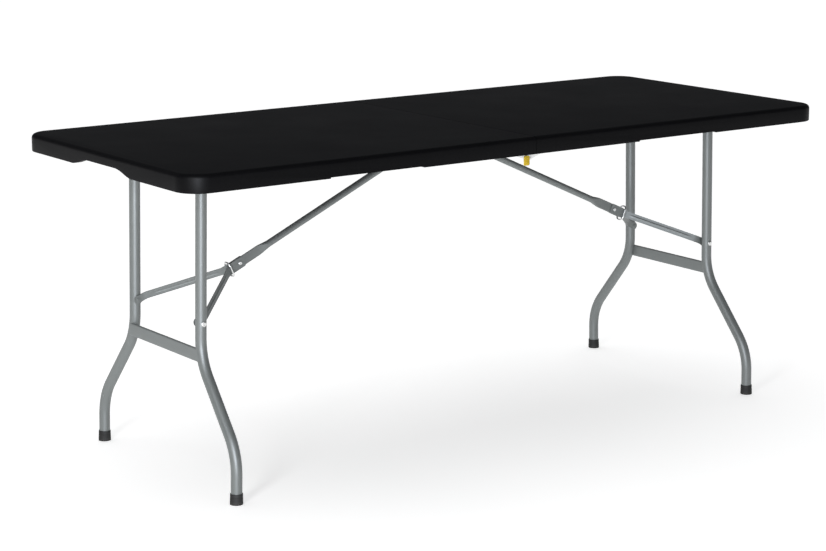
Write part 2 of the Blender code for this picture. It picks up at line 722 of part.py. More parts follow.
def make_latch(name, sign, half, place):
    """A hook that hangs from its rivet, and swings up over the stud to hold the top open."""
    carrier = pivot(
        f"latch_{name}", (LATCH_FROM_FOLD, sign * LATCH_INNER, LATCH_Z - HINGE_Z), parent=half
    )
    centre = (LATCH_FROM_FOLD, LATCH_Z)
    half_width = LATCH_WIDTH / 2
    end = LATCH_Z - LATCH_LENGTH
    outline = arc(centre, half_width, 0, 180) + [
        (LATCH_FROM_FOLD - half_width, end), (LATCH_FROM_FOLD + half_width, end),
    ]
    lever = prism(f"latch_lever_{name}", outline, "Y", sign * LATCH_INNER, sign * LATCH_OUTER)
    near, far = sign * (LATCH_INNER - CUT_PAST), sign * (LATCH_OUTER + CUT_PAST)
    slot_z = LATCH_Z - LATCH_REACH
    cut(
        lever,
        drill(
            f"lever_hole_{name}", (centre[0], near, centre[1]), (centre[0], far, centre[1]),
            LATCH_RIVET_RADIUS + GAP,
        ),
        block(
            f"lever_slot_{name}",
            (LATCH_FROM_FOLD - half_width - CUT_PAST, near, slot_z - LATCH_SLOT_WIDTH / 2),
            (LATCH_FROM_FOLD + STUD_RADIUS + GAP, far, slot_z + LATCH_SLOT_WIDTH / 2),
        ),
    )
    fit(lever, BRIGHT_ZINC, carrier, place)
    inner = LATCH_OUTER + GAP
    outline = rounded_box(
        (LATCH_FROM_FOLD - GRIP_WIDTH / 2, end),
        (LATCH_FROM_FOLD + GRIP_WIDTH / 2, LATCH_Z - GRIP_START),
        GRIP_CORNER, steps=3,
    )
    grip = prism(f"latch_grip_{name}", outline, "Y", sign * inner, sign * (inner + GRIP_THICKNESS))
    fit(grip, YELLOW_PLASTIC, carrier, place)


def make_lock_stud(name, sign, carrier, place):
    """The stud that the latch hooks over, with its shank through the plate and the rail's wall."""
    foot = OUTER_PLATE[1] + GAP
    profile = [
        (0, RAIL_OUTER - RAIL_WALL), (STUD_SHANK_RADIUS, RAIL_OUTER - RAIL_WALL),
        (STUD_SHANK_RADIUS, foot), (STUD_RADIUS, foot), (STUD_RADIUS, LATCH_OUTER), (0, LATCH_OUTER),
    ]
    stud = turned(f"lock_stud_{name}", profile, across(sign, STUD_FROM_FOLD, LATCH_Z))
    fit(stud, BRIGHT_ZINC, carrier, place)


# ---------------------------------------------------------------- leg frame
def leg_path(sign, past=0.0):
    """A leg's middle line from the pivot tube to the foot, in the leg frame's own axes."""
    shares = [step / BEND_STEPS for step in range(BEND_STEPS + 1)]
    path = [(0, sign * LEG_TOP_Y, past)]
    for angle in [LEG_BEND * share for share in shares]:
        y = LEG_TOP_Y + LEG_BEND_RADIUS * (1 - math.cos(angle))
        path.append((0, sign * y, -BEND_DROP - LEG_BEND_RADIUS * math.sin(angle)))
    for angle in [LEG_BEND * (1 - share) for share in shares]:
        y = FOOT_Y - LEG_BEND_RADIUS * (1 - math.cos(angle))
        path.append((0, sign * y, -BEND_END_DROP + LEG_BEND_RADIUS * math.sin(angle)))
    path.append((0, sign * FOOT_Y, -LEG_DROP + FOOT_FLOOR + GAP - past))
    return path


def make_leg(name, sign, carrier):
    leg = tube(f"leg_{name}", leg_path(sign), LEG_RADIUS)
    cut(
        leg,
        drill(
            f"leg_cope_{name}", (0, sign * (LEG_TOP_Y - 2 * LEG_RADIUS), 0),
            (0, sign * (LEG_TOP_Y + 2 * LEG_RADIUS), 0), PIVOT_TUBE_RADIUS + GAP, BAR_SIDES,
        ),
        tube(f"leg_bore_{name}", leg_path(sign, CUT_PAST), LEG_RADIUS - LEG_WALL),
        drill(
            f"leg_rivet_hole_{name}", (0, sign * (LEG_TOP_Y - 2 * LEG_RADIUS), -ARM_DROP),
            (0, sign * (LEG_TOP_Y + 2 * LEG_RADIUS), -ARM_DROP), RIVET_RADIUS + GAP,
        ),
    )
    fit(leg, GREY_COAT, carrier)


def make_leg_rivet(name, sign, carrier):
    """A rivet through a leg, whose inner end stops just short of the brace arm."""
    inner = LEG_TOP_Y - LEG_RADIUS + GAP
    profile = [(0, inner), (RIVET_RADIUS, inner)] + rivet_profile(LEG_TOP_Y + LEG_RADIUS + GAP)
    fit(turned(f"leg_rivet_{name}", profile, across(sign, 0, -ARM_DROP)), BRIGHT_ZINC, carrier)


def make_foot_cap(name, sign, carrier, place):
    """A moulded cap over a leg's end, cut level with the floor."""
    bore = (LEG_RADIUS + GAP) / math.cos(math.pi / TUBE_SIDES)
    top = -LEG_DROP + FOOT_HEIGHT
    profile = [
        (0, -LEG_DROP + FOOT_FLOOR), (bore, -LEG_DROP + FOOT_FLOOR), (bore, top),
        (FOOT_TOP_RADIUS, top), (FOOT_RADIUS, -LEG_DROP + FOOT_FLOOR),
        (FOOT_RADIUS, -LEG_DROP - FOOT_FLOOR), (0, -LEG_DROP - FOOT_FLOOR),
    ]
    cap_place = LEG_PLACE @ Matrix.Translation((0, sign * FOOT_Y, 0))
    cap = turned(f"foot_cap_{name}", profile, cap_place, sides=TUBE_SIDES)
    reach = FOOT_RADIUS + CUT_PAST
    middle = cap_place @ Vector((0, 0, -LEG_DROP))
    cut(
        cap,
        block(
            f"floor_{name}", (middle.x - reach, middle.y - reach, -CUT_PAST),
            (middle.x + reach, middle.y + reach, 0),
        ),
    )
    fit(cap, BLACK_RUBBER, carrier, place)


def make_pivot_tube(name, carrier):
    """The tube that a leg frame turns on, drawn down to a stub in each rail's bush."""
    shoulder = RAIL_INNER - 2 * GAP - BUSH_FLANGE_THICKNESS
    end = RAIL_INNER + RAIL_WALL + PIVOT_STUB_PAST_WALL
    half = [
        (PIVOT_TUBE_RADIUS, shoulder - PIVOT_TUBE_RADIUS), (1.5 * PIVOT_STUB_RADIUS, shoulder),
        (PIVOT_STUB_RADIUS, shoulder), (PIVOT_STUB_RADIUS, end), (0, end),
    ]
    profile = [(radius, -height) for radius, height in reversed(half)] + half
    tube_piece = turned(f"leg_pivot_tube_{name}", profile, across(1), sides=BAR_SIDES)
    bore_end = shoulder - PIVOT_TUBE_RADIUS - PIVOT_TUBE_WALL
    cut(
        tube_piece,
        rod(
            f"pivot_bore_{name}", (0, -bore_end, 0), (0, bore_end, 0),
            PIVOT_TUBE_RADIUS - PIVOT_TUBE_WALL, BAR_SIDES,
        ),
        rod(f"pivot_drain_{name}", (0, 0, 0), (0, 0, -2 * PIVOT_TUBE_RADIUS), PIVOT_DRAIN_RADIUS),
    )
    fit(tube_piece, GREY_COAT, carrier)


def flat_oval(height, thickness, x, z):
    """A flat oval tube's section in (x, z), taller than it is thick."""
    radius = thickness / 2
    straight = height / 2 - radius
    return arc((x, z + straight), radius, 0, 180) + arc((x, z - straight), radius, 180, 360)


def make_crossbrace(name, carrier):
    """A flat oval tube between the legs, flush with their outer side and shaped to meet them."""
    x = LEG_RADIUS - CROSSBRACE_THICKNESS / 2
    outer = flat_oval(CROSSBRACE_HEIGHT, CROSSBRACE_THICKNESS, x, -CROSSBRACE_DROP)
    wall = 2 * CROSSBRACE_WALL
    inner = flat_oval(CROSSBRACE_HEIGHT - wall, CROSSBRACE_THICKNESS - wall, x, -CROSSBRACE_DROP)
    reach = LEG_TOP_Y + LEG_BEND_RADIUS * (1 - math.sqrt(1 - (CROSSBRACE_BELOW_BEND / LEG_BEND_RADIUS) ** 2))
    brace = prism(f"leg_crossbrace_{name}", outer, "Y", -reach, reach)
    clear = (LEG_RADIUS + GAP) / math.cos(math.pi / TUBE_SIDES)
    cut(
        brace,
        prism(f"crossbrace_bore_{name}", inner, "Y", -reach - CUT_PAST, reach + CUT_PAST),
        tube(f"crossbrace_cope_a_{name}", leg_path(-1), clear),
        tube(f"crossbrace_cope_b_{name}", leg_path(1), clear),
    )
    fit(brace, GREY_COAT, carrier)


# ---------------------------------------------------------------- folding brace
def brace_sections():
    """(x, half height, half thickness) along the brace tube: flat at both ends, and round between."""
    thin = BRACE_FLAT_THICKNESS / 2
    tall = BRACE_FLAT_HEIGHT / 2
    tail_centre = BRACE_LENGTH + BRACE_TAIL - tall
    turns = [math.radians(angle) for angle in (82, 62, 42, 21, 0)]
    sections = [
        (-BRACE_TOP_END_RADIUS * math.sin(turn), max(BRACE_TOP_END_RADIUS * math.cos(turn), thin), thin)
        for turn in turns
    ]
    knee_start = BRACE_LENGTH - BRACE_KNEE_FLAT - BRACE_TAPER
    sections.append((BRACE_TOP_FLAT, tall, thin))
    tapers = (
        (BRACE_TOP_FLAT, -1, (0.25, 0.5, 0.75, 1.0)),
        (knee_start, 1, (0.0, 0.25, 0.5, 0.75, 1.0)),
    )
    for start, sense, shares in tapers:
        for share in shares:
            roundness = (1 + sense * math.cos(math.pi * share)) / 2
            half_height = tall + (BRACE_RADIUS - tall) * roundness
            half_thickness = thin + (BRACE_RADIUS - thin) * roundness
            sections.append((start + BRACE_TAPER * share, half_height, half_thickness))
    sections += [
        (tail_centre + tall * math.sin(turn), max(tall * math.cos(turn), thin), thin)
        for turn in reversed(turns)
    ]
    return sections


def loft(name, sections, sides=BAR_SIDES):
    """A closed skin over flat oval sections that stand along X."""
    bm = bmesh.new()
    rings = []
    for x, half_height, half_thickness in sections:
        ring = []
        for index in range(sides):
            angle = 2 * math.pi * (index + 0.5) / sides
            flat = math.copysign(half_height - half_thickness, math.sin(angle))
            ring.append(bm.verts.new((
                x, half_thickness * math.cos(angle), half_thickness * math.sin(angle) + flat
            )))
        rings.append(ring)
    for ring, following in zip(rings, rings[1:]):
        for index in range(sides):
            after = (index + 1) % sides
            bm.faces.new((ring[index], ring[after], following[after], following[index]))
    bm.faces.new(rings[0])
    bm.faces.new(rings[-1])
    bmesh.ops.recalc_face_normals(bm, faces=bm.faces)
    return from_bmesh(name, bm)


def make_brace_tube(name, carrier):
    """The upper link of the brace, from the bracket to the knee, with a tail past the knee."""
    brace = loft(f"brace_tube_{name}", brace_sections())
    bore = (BRACE_TOP_FLAT + BRACE_TAPER, BRACE_LENGTH - BRACE_KNEE_FLAT - BRACE_TAPER)
    middle = sum(bore) / 2
    cut(
        brace,
        rod(
            f"brace_bore_{name}", (bore[0], 0, 0), (bore[1], 0, 0), BRACE_RADIUS - BRACE_WALL,
            BAR_SIDES,
        ),
        rod(f"brace_drain_{name}", (middle, 0, 0), (middle, 0, -2 * BRACE_RADIUS), BRACE_DRAIN_RADIUS),
        drill(f"brace_top_hole_{name}", (0, -CUT_PAST, 0), (0, CUT_PAST, 0), RIVET_RADIUS + GAP),
        drill(
            f"brace_knee_hole_{name}", (BRACE_LENGTH, -CUT_PAST, 0), (BRACE_LENGTH, CUT_PAST, 0),
            RIVET_RADIUS + GAP,
        ),
    )
    fit(brace, GREY_COAT, carrier)


def strip_outline(line, thickness):
    """The outline of a bent strip of even thickness round its middle line, with mitred bends."""
    points = [Vector(point) for point in line]
    runs = [(after - before).normalized() for before, after in zip(points, points[1:])]
    sides = [Vector((-run.y, run.x)) for run in runs]
    offsets = [sides[0]]
    for before, after in zip(sides, sides[1:]):
        mitre = (before + after).normalized()
        offsets.append(mitre / mitre.dot(after))
    offsets.append(sides[-1])
    one = [point + offset * thickness / 2 for point, offset in zip(points, offsets)]
    other = [point - offset * thickness / 2 for point, offset in zip(points, offsets)]
    return [tuple(point) for point in one + other[::-1]]


def arm_profile():
    """An arm seen from the side, in (x, z): wide at the knee, narrow along, and round at the leg."""
    half = ARM_HEIGHT / 2
    lean = math.degrees(math.pi - math.asin(half / ARM_LEG_END_RADIUS))
    upper = [(ARM_KNEE_STRAIGHT, ARM_KNEE_RADIUS), (ARM_NECK, half)]
    lower = [(x, -z) for x, z in reversed(upper)]
    return (
        arc((0, 0), ARM_KNEE_RADIUS, 90, 270)
        + lower
        + arc((ARM_LENGTH, 0), ARM_LEG_END_RADIUS, -lean, lean)
        + upper[::-1]
    )


def make_arm(name, sign, carrier):
    """A lower link of the brace: a strip that leaves the knee beside its twin and bends to a leg."""
    line = [
        (-ARM_TAIL, sign * ARM_KNEE_Y), (ARM_PARALLEL, sign * ARM_KNEE_Y),
        (ARM_LENGTH - ARM_LEG_FLAT, sign * ARM_LEG_Y),
        (ARM_LENGTH + ARM_LEG_END_RADIUS + ARM_THICKNESS, sign * ARM_LEG_Y),
    ]
    arm = prism(
        f"brace_arm_{name}", strip_outline(line, ARM_THICKNESS), "Z", -2 * ARM_KNEE_RADIUS,
        2 * ARM_KNEE_RADIUS,
    )
    outside = sign * (ARM_LEG_Y + CUT_PAST)
    face = ARM_LEG_Y - ARM_THICKNESS / 2
    cut(
        arm,
        prism(f"arm_profile_{name}", arm_profile(), "Y", -sign * CUT_PAST, outside),
        operation="INTERSECT",
    )
    join(
        arm,
        rod(
            f"arm_boss_{name}", (ARM_LENGTH, sign * (face - ARM_BOSS_HEIGHT), 0),
            (ARM_LENGTH, sign * (face + ARM_THICKNESS / 2), 0), ARM_BOSS_RADIUS,
        ),
    )
    cut(
        arm,
        drill(f"arm_hole_{name}", (0, -CUT_PAST, 0), (0, CUT_PAST, 0), RIVET_RADIUS + GAP),
    )
    fit(arm, GREY_COAT, carrier)


def make_lock_ring(name, carrier):
    """A wire ring round both links, which keeps the knee straight."""
    half_width = BRACE_RADIUS + RING_SIDE_CLEARANCE + RING_WIRE_RADIUS
    half_height = ARM_KNEE_RADIUS + RING_END_CLEARANCE + RING_WIRE_RADIUS
    corner = half_width - RING_WIRE_RADIUS
    outline = rounded_box((-half_width, -half_height), (half_width, half_height), corner, steps=4)
    path = [(0, y, z) for y, z in outline]
    ring = tube(f"lock_ring_{name}", path, RING_WIRE_RADIUS, WIRE_BEVEL, cyclic=True)
    fit(ring, BRIGHT_ZINC, carrier)


# ---------------------------------------------------------------- carry handle
def make_handle(half, place):
    """A bail inside the end rim, which swings out through the scallop."""
    carrier = pivot("carry_handle_swing", (HANDLE_X, 0, HANDLE_Z - HINGE_Z), parent=half)
    grip_half = HANDLE_WIDTH / 2
    low = HANDLE_Z - HANDLE_REACH
    corner = arc((grip_half - HANDLE_CORNER, low + HANDLE_CORNER), HANDLE_CORNER, 0, -90, steps=4)
    half_path = [(grip_half, HANDLE_Z)] + corner
    outline = half_path + [(-y, z) for y, z in reversed(half_path)]
    bail = tube("carry_handle", [(HANDLE_X, y, z) for y, z in outline], HANDLE_RADIUS, WIRE_BEVEL)
    eye_inner = grip_half - HANDLE_EYE_WIDTH / 2
    eye_outer = grip_half + HANDLE_EYE_WIDTH / 2
    for sign in (-1, 1):
        ends = [(HANDLE_X, sign * y, HANDLE_Z) for y in (eye_inner, eye_outer)]
        join(bail, rod(f"handle_eye_{sign}", *ends, HANDLE_EYE_RADIUS))
    pin_end = eye_outer + HANDLE_BRACKET_GAP - HANDLE_PIN_LENGTH
    for sign in (-1, 1):
        ends = [(HANDLE_X, sign * y, HANDLE_Z) for y in (pin_end - GAP, eye_outer + CUT_PAST)]
        cut(bail, drill(f"handle_hole_{sign}", *ends, HANDLE_PIN_RADIUS + GAP))
    fit(bail, BLACK_NYLON, carrier, place)
    for sign, name in ((-1, "front"), (1, "back")):
        inner = eye_outer + HANDLE_BRACKET_GAP
        bracket = block(
            f"handle_bracket_{name}",
            (HANDLE_X - HANDLE_EYE_RADIUS, sign * inner, HANDLE_Z - HANDLE_EYE_RADIUS),
            (POCKET_END - GAP, sign * (inner + HANDLE_BRACKET_WIDTH), SLAB_UNDERSIDE - GAP),
        )
        ends = [(HANDLE_X, sign * y, HANDLE_Z) for y in (pin_end, inner + HANDLE_BRACKET_WIDTH / 2)]
        join(bracket, rod(f"handle_pin_{name}", *ends, HANDLE_PIN_RADIUS))
        fit(bracket, BLACK_NYLON, half, place)


# ---------------------------------------------------------------- the two halves
def make_half(name, side):
    """Everything on one half. side is -1 for the left half and 1 for the right."""
    left = side < 0
    place = Matrix.Rotation(math.pi, 4, "Z") if left else Matrix()
    half = pivot(f"{name}_half", (0, 0, HINGE_Z), rotation=(0, 0, math.pi if left else 0))
    make_panel(name, half, place)
    layer = INNER_PLATE if left else OUTER_PLATE
    make_crossbar(name, (layer[0] if left else RAIL_INNER) - GAP, half, place)
    make_brace_bracket(name, half, place)
    grip = EAR_INNER + BRACKET_THICKNESS + GAP
    make_through_rivet(f"brace_rivet_{name}", grip, half, place, ANCHOR.x, ANCHOR.y)

    legs = pivot(
        f"{name}_leg_fold", (LEG_PIVOT_X, 0, LEG_PIVOT_Z - HINGE_Z), half, (0, -LEG_SPLAY, 0)
    )
    brace = pivot(
        f"{name}_brace_fold", (ANCHOR.x, 0, ANCHOR.y - HINGE_Z), half, (0, BRACE_SLOPE, 0)
    )
    knee = pivot(f"{name}_knee", (BRACE_LENGTH, 0, 0), brace)
    ring = pivot(f"{name}_ring_slide", (BRACE_LENGTH + RING_PAST_KNEE, 0, 0), brace)
    make_pivot_tube(name, legs)
    make_crossbrace(name, legs)
    make_brace_tube(name, brace)
    make_lock_ring(name, ring)
    arm_outer = ARM_KNEE_Y + ARM_THICKNESS / 2 + GAP
    make_through_rivet(f"knee_rivet_{name}", arm_outer, knee)

    for sign in (-1, 1):
        end = "front" if sign * side < 0 else "back"
        corner = f"{name}_{end}"
        outer_hole = (LATCH_RIVET_RADIUS, LATCH_FROM_FOLD) if left else (STUD_SHANK_RADIUS, STUD_FROM_FOLD)
        make_rail(corner, sign, half, place, outer_hole)
        make_bush(corner, sign, half, place)
        make_hinge_plate(corner, sign, layer, half, place, stud_hole=not left)
        make_leg(corner, sign, legs)
        make_leg_rivet(corner, sign, legs)
        make_foot_cap(corner, sign, legs, place)
        make_arm(corner, sign, knee)
        if left:
            make_hinge_pin(end, sign, half, place)
            make_latch_rivet(end, sign, half, place)
            make_latch(end, sign, half, place)
        else:
            make_lock_stud(end, sign, half, place)
    if not left:
        make_handle(half, place)


make_half("left", -1)
make_half("right", 1)
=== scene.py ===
# %% [markdown]
# # A folding table, from its moulded top to its rubber feet
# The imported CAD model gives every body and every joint. This script gives them their looks: finer
# meshes for the tubes, plates and moulded panels, and a finish with real grain for each material.
# Everything is in metres. Each piece is placed in its own mesh, so every object stays at the origin.

# %% Load the frame
import math

import bmesh
import bpy
from mathutils import Matrix, Vector


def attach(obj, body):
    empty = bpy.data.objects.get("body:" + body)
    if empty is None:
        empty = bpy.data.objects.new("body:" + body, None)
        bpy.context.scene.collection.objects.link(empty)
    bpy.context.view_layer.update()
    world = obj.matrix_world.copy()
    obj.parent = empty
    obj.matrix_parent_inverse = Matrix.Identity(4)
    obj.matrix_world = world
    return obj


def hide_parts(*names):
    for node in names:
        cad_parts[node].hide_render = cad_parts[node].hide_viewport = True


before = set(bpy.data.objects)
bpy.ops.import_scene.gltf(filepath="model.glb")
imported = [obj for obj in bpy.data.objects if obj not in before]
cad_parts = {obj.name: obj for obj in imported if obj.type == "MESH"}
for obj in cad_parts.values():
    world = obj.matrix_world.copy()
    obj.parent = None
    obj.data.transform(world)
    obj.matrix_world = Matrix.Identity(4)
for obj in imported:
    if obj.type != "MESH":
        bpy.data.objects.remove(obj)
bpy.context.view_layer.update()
SIDES = {"left": Matrix.Rotation(math.pi, 4, "Z"), "right": Matrix()}

# %% [markdown]
# The sizes below are those of the real table. A half is drawn once, with +X from the fold to the
# table's end, and is then turned round for the left side, as the two real halves are the same parts.

# %% Sizes
HALF_LENGTH, HALF_WIDTH, HEIGHT = 0.900, 0.370, 0.735
FOLD_GAP, RIM_DEPTH, RIM, FOLD_RIM, SLAB = 0.001, 0.040, 0.014, 0.012, 0.016
CORNER, TOP_ROUND, LOW_ROUND, FOLD_ROUND = 0.055, 0.010, 0.002, 0.0012
RIM_BOTTOM, SLAB_BELOW = HEIGHT - RIM_DEPTH, HEIGHT - SLAB
RIM_INNER, RECESS_START, RECESS_END = HALF_WIDTH - RIM, FOLD_GAP / 2 + FOLD_RIM, HALF_LENGTH - RIM
CHANNEL = (0.665, 0.074, 0.0095)  # end, half width and depth
SCALLOP = (0.060, 0.080, 0.015)  # half of the flat, ramp and depth
RELIEF = (0.31, 0.555, 0.003)  # start, end and depth
RAIL_IN, RAIL_OUT, RAIL_TOP, RAIL_LOW = 0.323, 0.343, 0.7187, 0.6937
RAIL_ENDS, WALL = (0.002, 0.775), 0.0012
HINGE_Z, LOBE, PLATE_END, GUSSET_END = 0.688, 0.009, 0.075, 0.040
PLATE_IN, PLATE_OUT = (0.3202, 0.3227), (0.3433, 0.3458)
LATCH_X, LATCH_Z, LATCH_Y = 0.0125, 0.7005, (0.3462, 0.3482)
STUD_X = 0.0095
PIVOT = Vector((0.738, 0, 0.7018))
SPLAY = math.radians(1.45)
LEG_RADIUS, LEG_TOP_Y, FOOT_Y, LEG_DROP = 0.0125, 0.146, 0.296, PIVOT.z / math.cos(SPLAY)
BEND, BEND_RADIUS, FOOT_STRAIGHT = math.radians(40), 0.130, 0.0618
LEG_SLANT = (FOOT_Y - LEG_TOP_Y - 2 * BEND_RADIUS * (1 - math.cos(BEND))) / math.sin(BEND)
BEND_END = LEG_DROP - FOOT_STRAIGHT
BEND_START = BEND_END - 2 * BEND_RADIUS * math.sin(BEND) - LEG_SLANT * math.cos(BEND)
ARM_DROP, CROSSBRACE_DROP = BEND_START - 0.032, BEND_START + 0.037
CROSSBRACE = (0.015, 0.00325)  # half height and half thickness
ANCHOR = Vector((0.023, 0, 0.693))
ARM_FOOT = PIVOT + Vector((math.sin(SPLAY), 0, -math.cos(SPLAY))) * ARM_DROP
SLOPE = math.atan2(ANCHOR.z - ARM_FOOT.z, ARM_FOOT.x - ANCHOR.x)
ARM_LENGTH = 0.206672
BRACE_LENGTH = (ARM_FOOT - ANCHOR).length - ARM_LENGTH
TUBE, FLAT, FLAT_HALF = 0.008, 0.00175, 0.012
LEGS = Matrix.Translation(PIVOT) @ Matrix.Rotation(-SPLAY, 4, "Y")
BRACE = Matrix.Translation(ANCHOR) @ Matrix.Rotation(SLOPE, 4, "Y")
KNEE = BRACE @ Matrix.Translation((BRACE_LENGTH, 0, 0))
RING = BRACE @ Matrix.Translation((BRACE_LENGTH + 0.029, 0, 0))
print(f"brace {BRACE_LENGTH:.4f} m long at {math.degrees(SLOPE):.1f} degrees")

# %% [markdown]
# Shader maths reads best as arithmetic. `Link` wraps a socket, so that `1 - mask` or `grain * 0.3`
# adds the Math node that does it, and `Finish` is one material with a method for any other node.


# %% Shader helpers
class Link:
    def __init__(self, finish, socket):
        self.finish, self.socket = finish, socket

    def do(self, operation, *values):
        return self.finish.node("ShaderNodeMath", {"operation": operation}, dict(enumerate(values)))

    def __add__(self, other):
        return self.do("ADD", self, other)

    def __sub__(self, other):
        return self.do("SUBTRACT", self, other)

    def __rsub__(self, other):
        return self.do("SUBTRACT", other, self)

    def __mul__(self, other):
        return self.do("MULTIPLY", self, other)

    def __gt__(self, other):
        return self.do("GREATER_THAN", self, other)

    def __lt__(self, other):
        return self.do("LESS_THAN", self, other)

    __radd__, __rmul__ = __add__, __mul__


class Finish:
    def __init__(self, name, **constants):
        self.material = bpy.data.materials.new(name)
        self.material.use_nodes = True
        self.nodes = self.material.node_tree.nodes
        self.shader = self.nodes["Principled BSDF"]
        for socket, value in constants.items():
            self.shader.inputs[socket.replace("_", " ")].default_value = value
        self.place = self.node("ShaderNodeTexCoord", output="Object")

    def node(self, kind, settings=None, values=None, output=0):
        made = self.nodes.new(kind)
        for key, value in (settings or {}).items():
            if key == "stops":
                ramp = made.color_ramp
                for at, shade in value[1:-1]:
                    ramp.elements.new(at).color = shade
                for element, (at, shade) in zip((ramp.elements[0], ramp.elements[-1]), (value[0], value[-1])):
                    element.position, element.color = at, shade
            else:
                setattr(made, key, value)
        for key, value in (values or {}).items():
            self.feed(made.inputs[key], value)
        return Link(self, made.outputs[output])

    def feed(self, socket, value):
        if isinstance(value, Link):
            self.material.node_tree.links.new(value.socket, socket)
        else:
            socket.default_value = value

    def drive(self, **sockets):
        for name, value in sockets.items():
            self.feed(self.shader.inputs[name.replace("_", " ")], value)

    def noise(self, scale, detail=3.0, roughness=0.5):
        values = {"Vector": self.place, "Scale": scale, "Detail": detail, "Roughness": roughness}
        return self.node("ShaderNodeTexNoise", None, values)

    def mix(self, factor, first, second):
        values = {0: factor, 6: (*first, 1) if isinstance(first, tuple) else first,
                  7: (*second, 1) if isinstance(second, tuple) else second}
        return self.node("ShaderNodeMix", {"data_type": "RGBA"}, values, output=2)

    def bump(self, height, distance, strength=1.0):
        values = {"Height": height, "Distance": distance, "Strength": strength}
        return self.node("ShaderNodeBump", None, values)

    def soft_step(self, value, low, high):
        values = {"Value": value, "From Min": low, "From Max": high}
        return self.node("ShaderNodeMapRange", {"interpolation_type": "SMOOTHSTEP"}, values)

    def axes(self):
        apart = self.node("ShaderNodeSeparateXYZ", None, {0: self.place})
        outputs = apart.socket.node.outputs
        return [Link(self, outputs[index]) for index in range(3)]


# %% [markdown]
# The top is blow-moulded polyethylene: almost black, matt, with a fine leathery grain from the
# mould. Under the slab the two skins are pinched together at a grid of round dimples. Both are
# far too fine to model, so they are bump, and the grid only shows where the slab's underside is.

# %% Moulded plastic
DIMPLE_PITCH, DIMPLE_RADIUS = 0.036, 0.30


def moulded_plastic():
    made = Finish("moulded_black", Specular_IOR_Level=0.085, IOR=1.45)
    broad, fine = made.noise(6.0, 2.0), made.noise(1400.0, 2.0, 0.6)
    cells = made.node(
        "ShaderNodeTexVoronoi", {"feature": "SMOOTH_F1"},
        {"Vector": made.place, "Scale": 900.0, "Smoothness": 0.6},
    )
    x, y, z = made.axes()
    facing = made.node("ShaderNodeTexCoord", output="Normal")
    faces = made.node("ShaderNodeSeparateXYZ", None, {0: facing}, output=2)
    under = (z < SLAB_BELOW + 0.0105) * (z > SLAB_BELOW - 0.002) * (faces < -0.7)
    pitches = [value * (1 / DIMPLE_PITCH) for value in (x, y)]
    across = [value.do("PINGPONG", value, 0.5) for value in pitches]
    out = made.node("ShaderNodeCombineXYZ", None, {0: across[0], 1: across[1], 2: 0.0})
    reach = made.node("ShaderNodeVectorMath", {"operation": "LENGTH"}, {0: out}, output="Value")
    dimple = made.soft_step(reach, DIMPLE_RADIUS, DIMPLE_RADIUS * 0.55) * under
    grained = made.bump(cells + fine * 0.5, 0.00012, 0.55)
    pressed = made.node(
        "ShaderNodeBump", {"invert": False},
        {"Height": dimple, "Distance": 0.0022, "Strength": 1.0, "Normal": grained},
    )
    colour = made.mix(broad, (0.0022, 0.0022, 0.0028), (0.0038, 0.0038, 0.0047))
    made.drive(Base_Color=colour, Roughness=0.40 + broad * 0.12, Normal=pressed)
    return made.material


MOULDED = moulded_plastic()
print("made", MOULDED.name)

# %% [markdown]
# The frame is steel tube with a silver-grey powder coat. Powder melts into a satin skin with a
# slight orange peel and a faint sparkle, so the coat is part metallic, and its roughness wanders.


# %% Powder coat, zinc and small plastics
def powder_coat():
    made = Finish("grey_powder_coat", Metallic=0.20, Specular_IOR_Level=0.35)
    cloud, sparkle = made.noise(14.0, 3.0), made.noise(2600.0, 1.0)
    peel = made.noise(520.0, 2.0, 0.4)
    tint = made.mix(sparkle, (0.190, 0.206, 0.206), (0.265, 0.285, 0.285))
    colour = made.mix(cloud * 0.35, tint, (0.200, 0.212, 0.208))
    made.drive(Base_Color=colour, Roughness=0.42 + cloud * 0.10, Normal=made.bump(peel, 0.00012, 0.35))
    return made.material


def bright_zinc():
    made = Finish("bright_zinc", Metallic=1.0)
    cloud, streak = made.noise(60.0, 4.0), made.noise(700.0, 2.0)
    colour = made.mix(cloud, (0.66, 0.67, 0.68), (0.82, 0.82, 0.80))
    made.drive(Base_Color=colour, Roughness=0.22 + streak * 0.16, Normal=made.bump(streak, 0.00005, 0.3))
    return made.material


def small_plastic(name, dark, light, roughness, grain):
    made = Finish(name, Specular_IOR_Level=0.4)
    cloud, fine = made.noise(45.0, 3.0), made.noise(grain, 2.0)
    _, _, z = made.axes()
    dust = made.soft_step(z, 0.010, 0.0) * (0.3 + cloud * 0.5)
    colour = made.mix(cloud, dark, light)
    worn = made.mix(dust * 0.35, colour, (0.10, 0.095, 0.085))
    made.drive(Base_Color=worn, Roughness=roughness + cloud * 0.12, Normal=made.bump(fine, 0.0001, 0.3))
    return made.material


COAT, ZINC = powder_coat(), bright_zinc()
YELLOW = small_plastic("yellow_plastic", (0.70, 0.48, 0.012), (0.80, 0.57, 0.020), 0.38, 1500.0)
RUBBER = small_plastic("foot_rubber", (0.010, 0.010, 0.010), (0.018, 0.018, 0.017), 0.66, 900.0)
NYLON = small_plastic("black_nylon", (0.014, 0.014, 0.015), (0.022, 0.022, 0.024), 0.42, 1800.0)

# %% [markdown]
# Small workshop helpers come next. `piece` gives a finished mesh its place, material, smooth
# shading and body, and hides the CAD nodes it stands for.

# %% Workshop
SMOOTH = math.radians(32)
table = {}


def piece(name, mesh, material, body, place=None, replaces=()):
    if place:
        mesh.transform(place)
    mesh.materials.clear()
    mesh.materials.append(material)
    mesh.shade_smooth()
    mesh.set_sharp_from_angle(angle=SMOOTH)
    made = bpy.data.objects.new(name, mesh)
    bpy.context.scene.collection.objects.link(made)
    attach(made, body)
    if replaces:
        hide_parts(*replaces)
    table[name] = len(mesh.polygons)
    return made


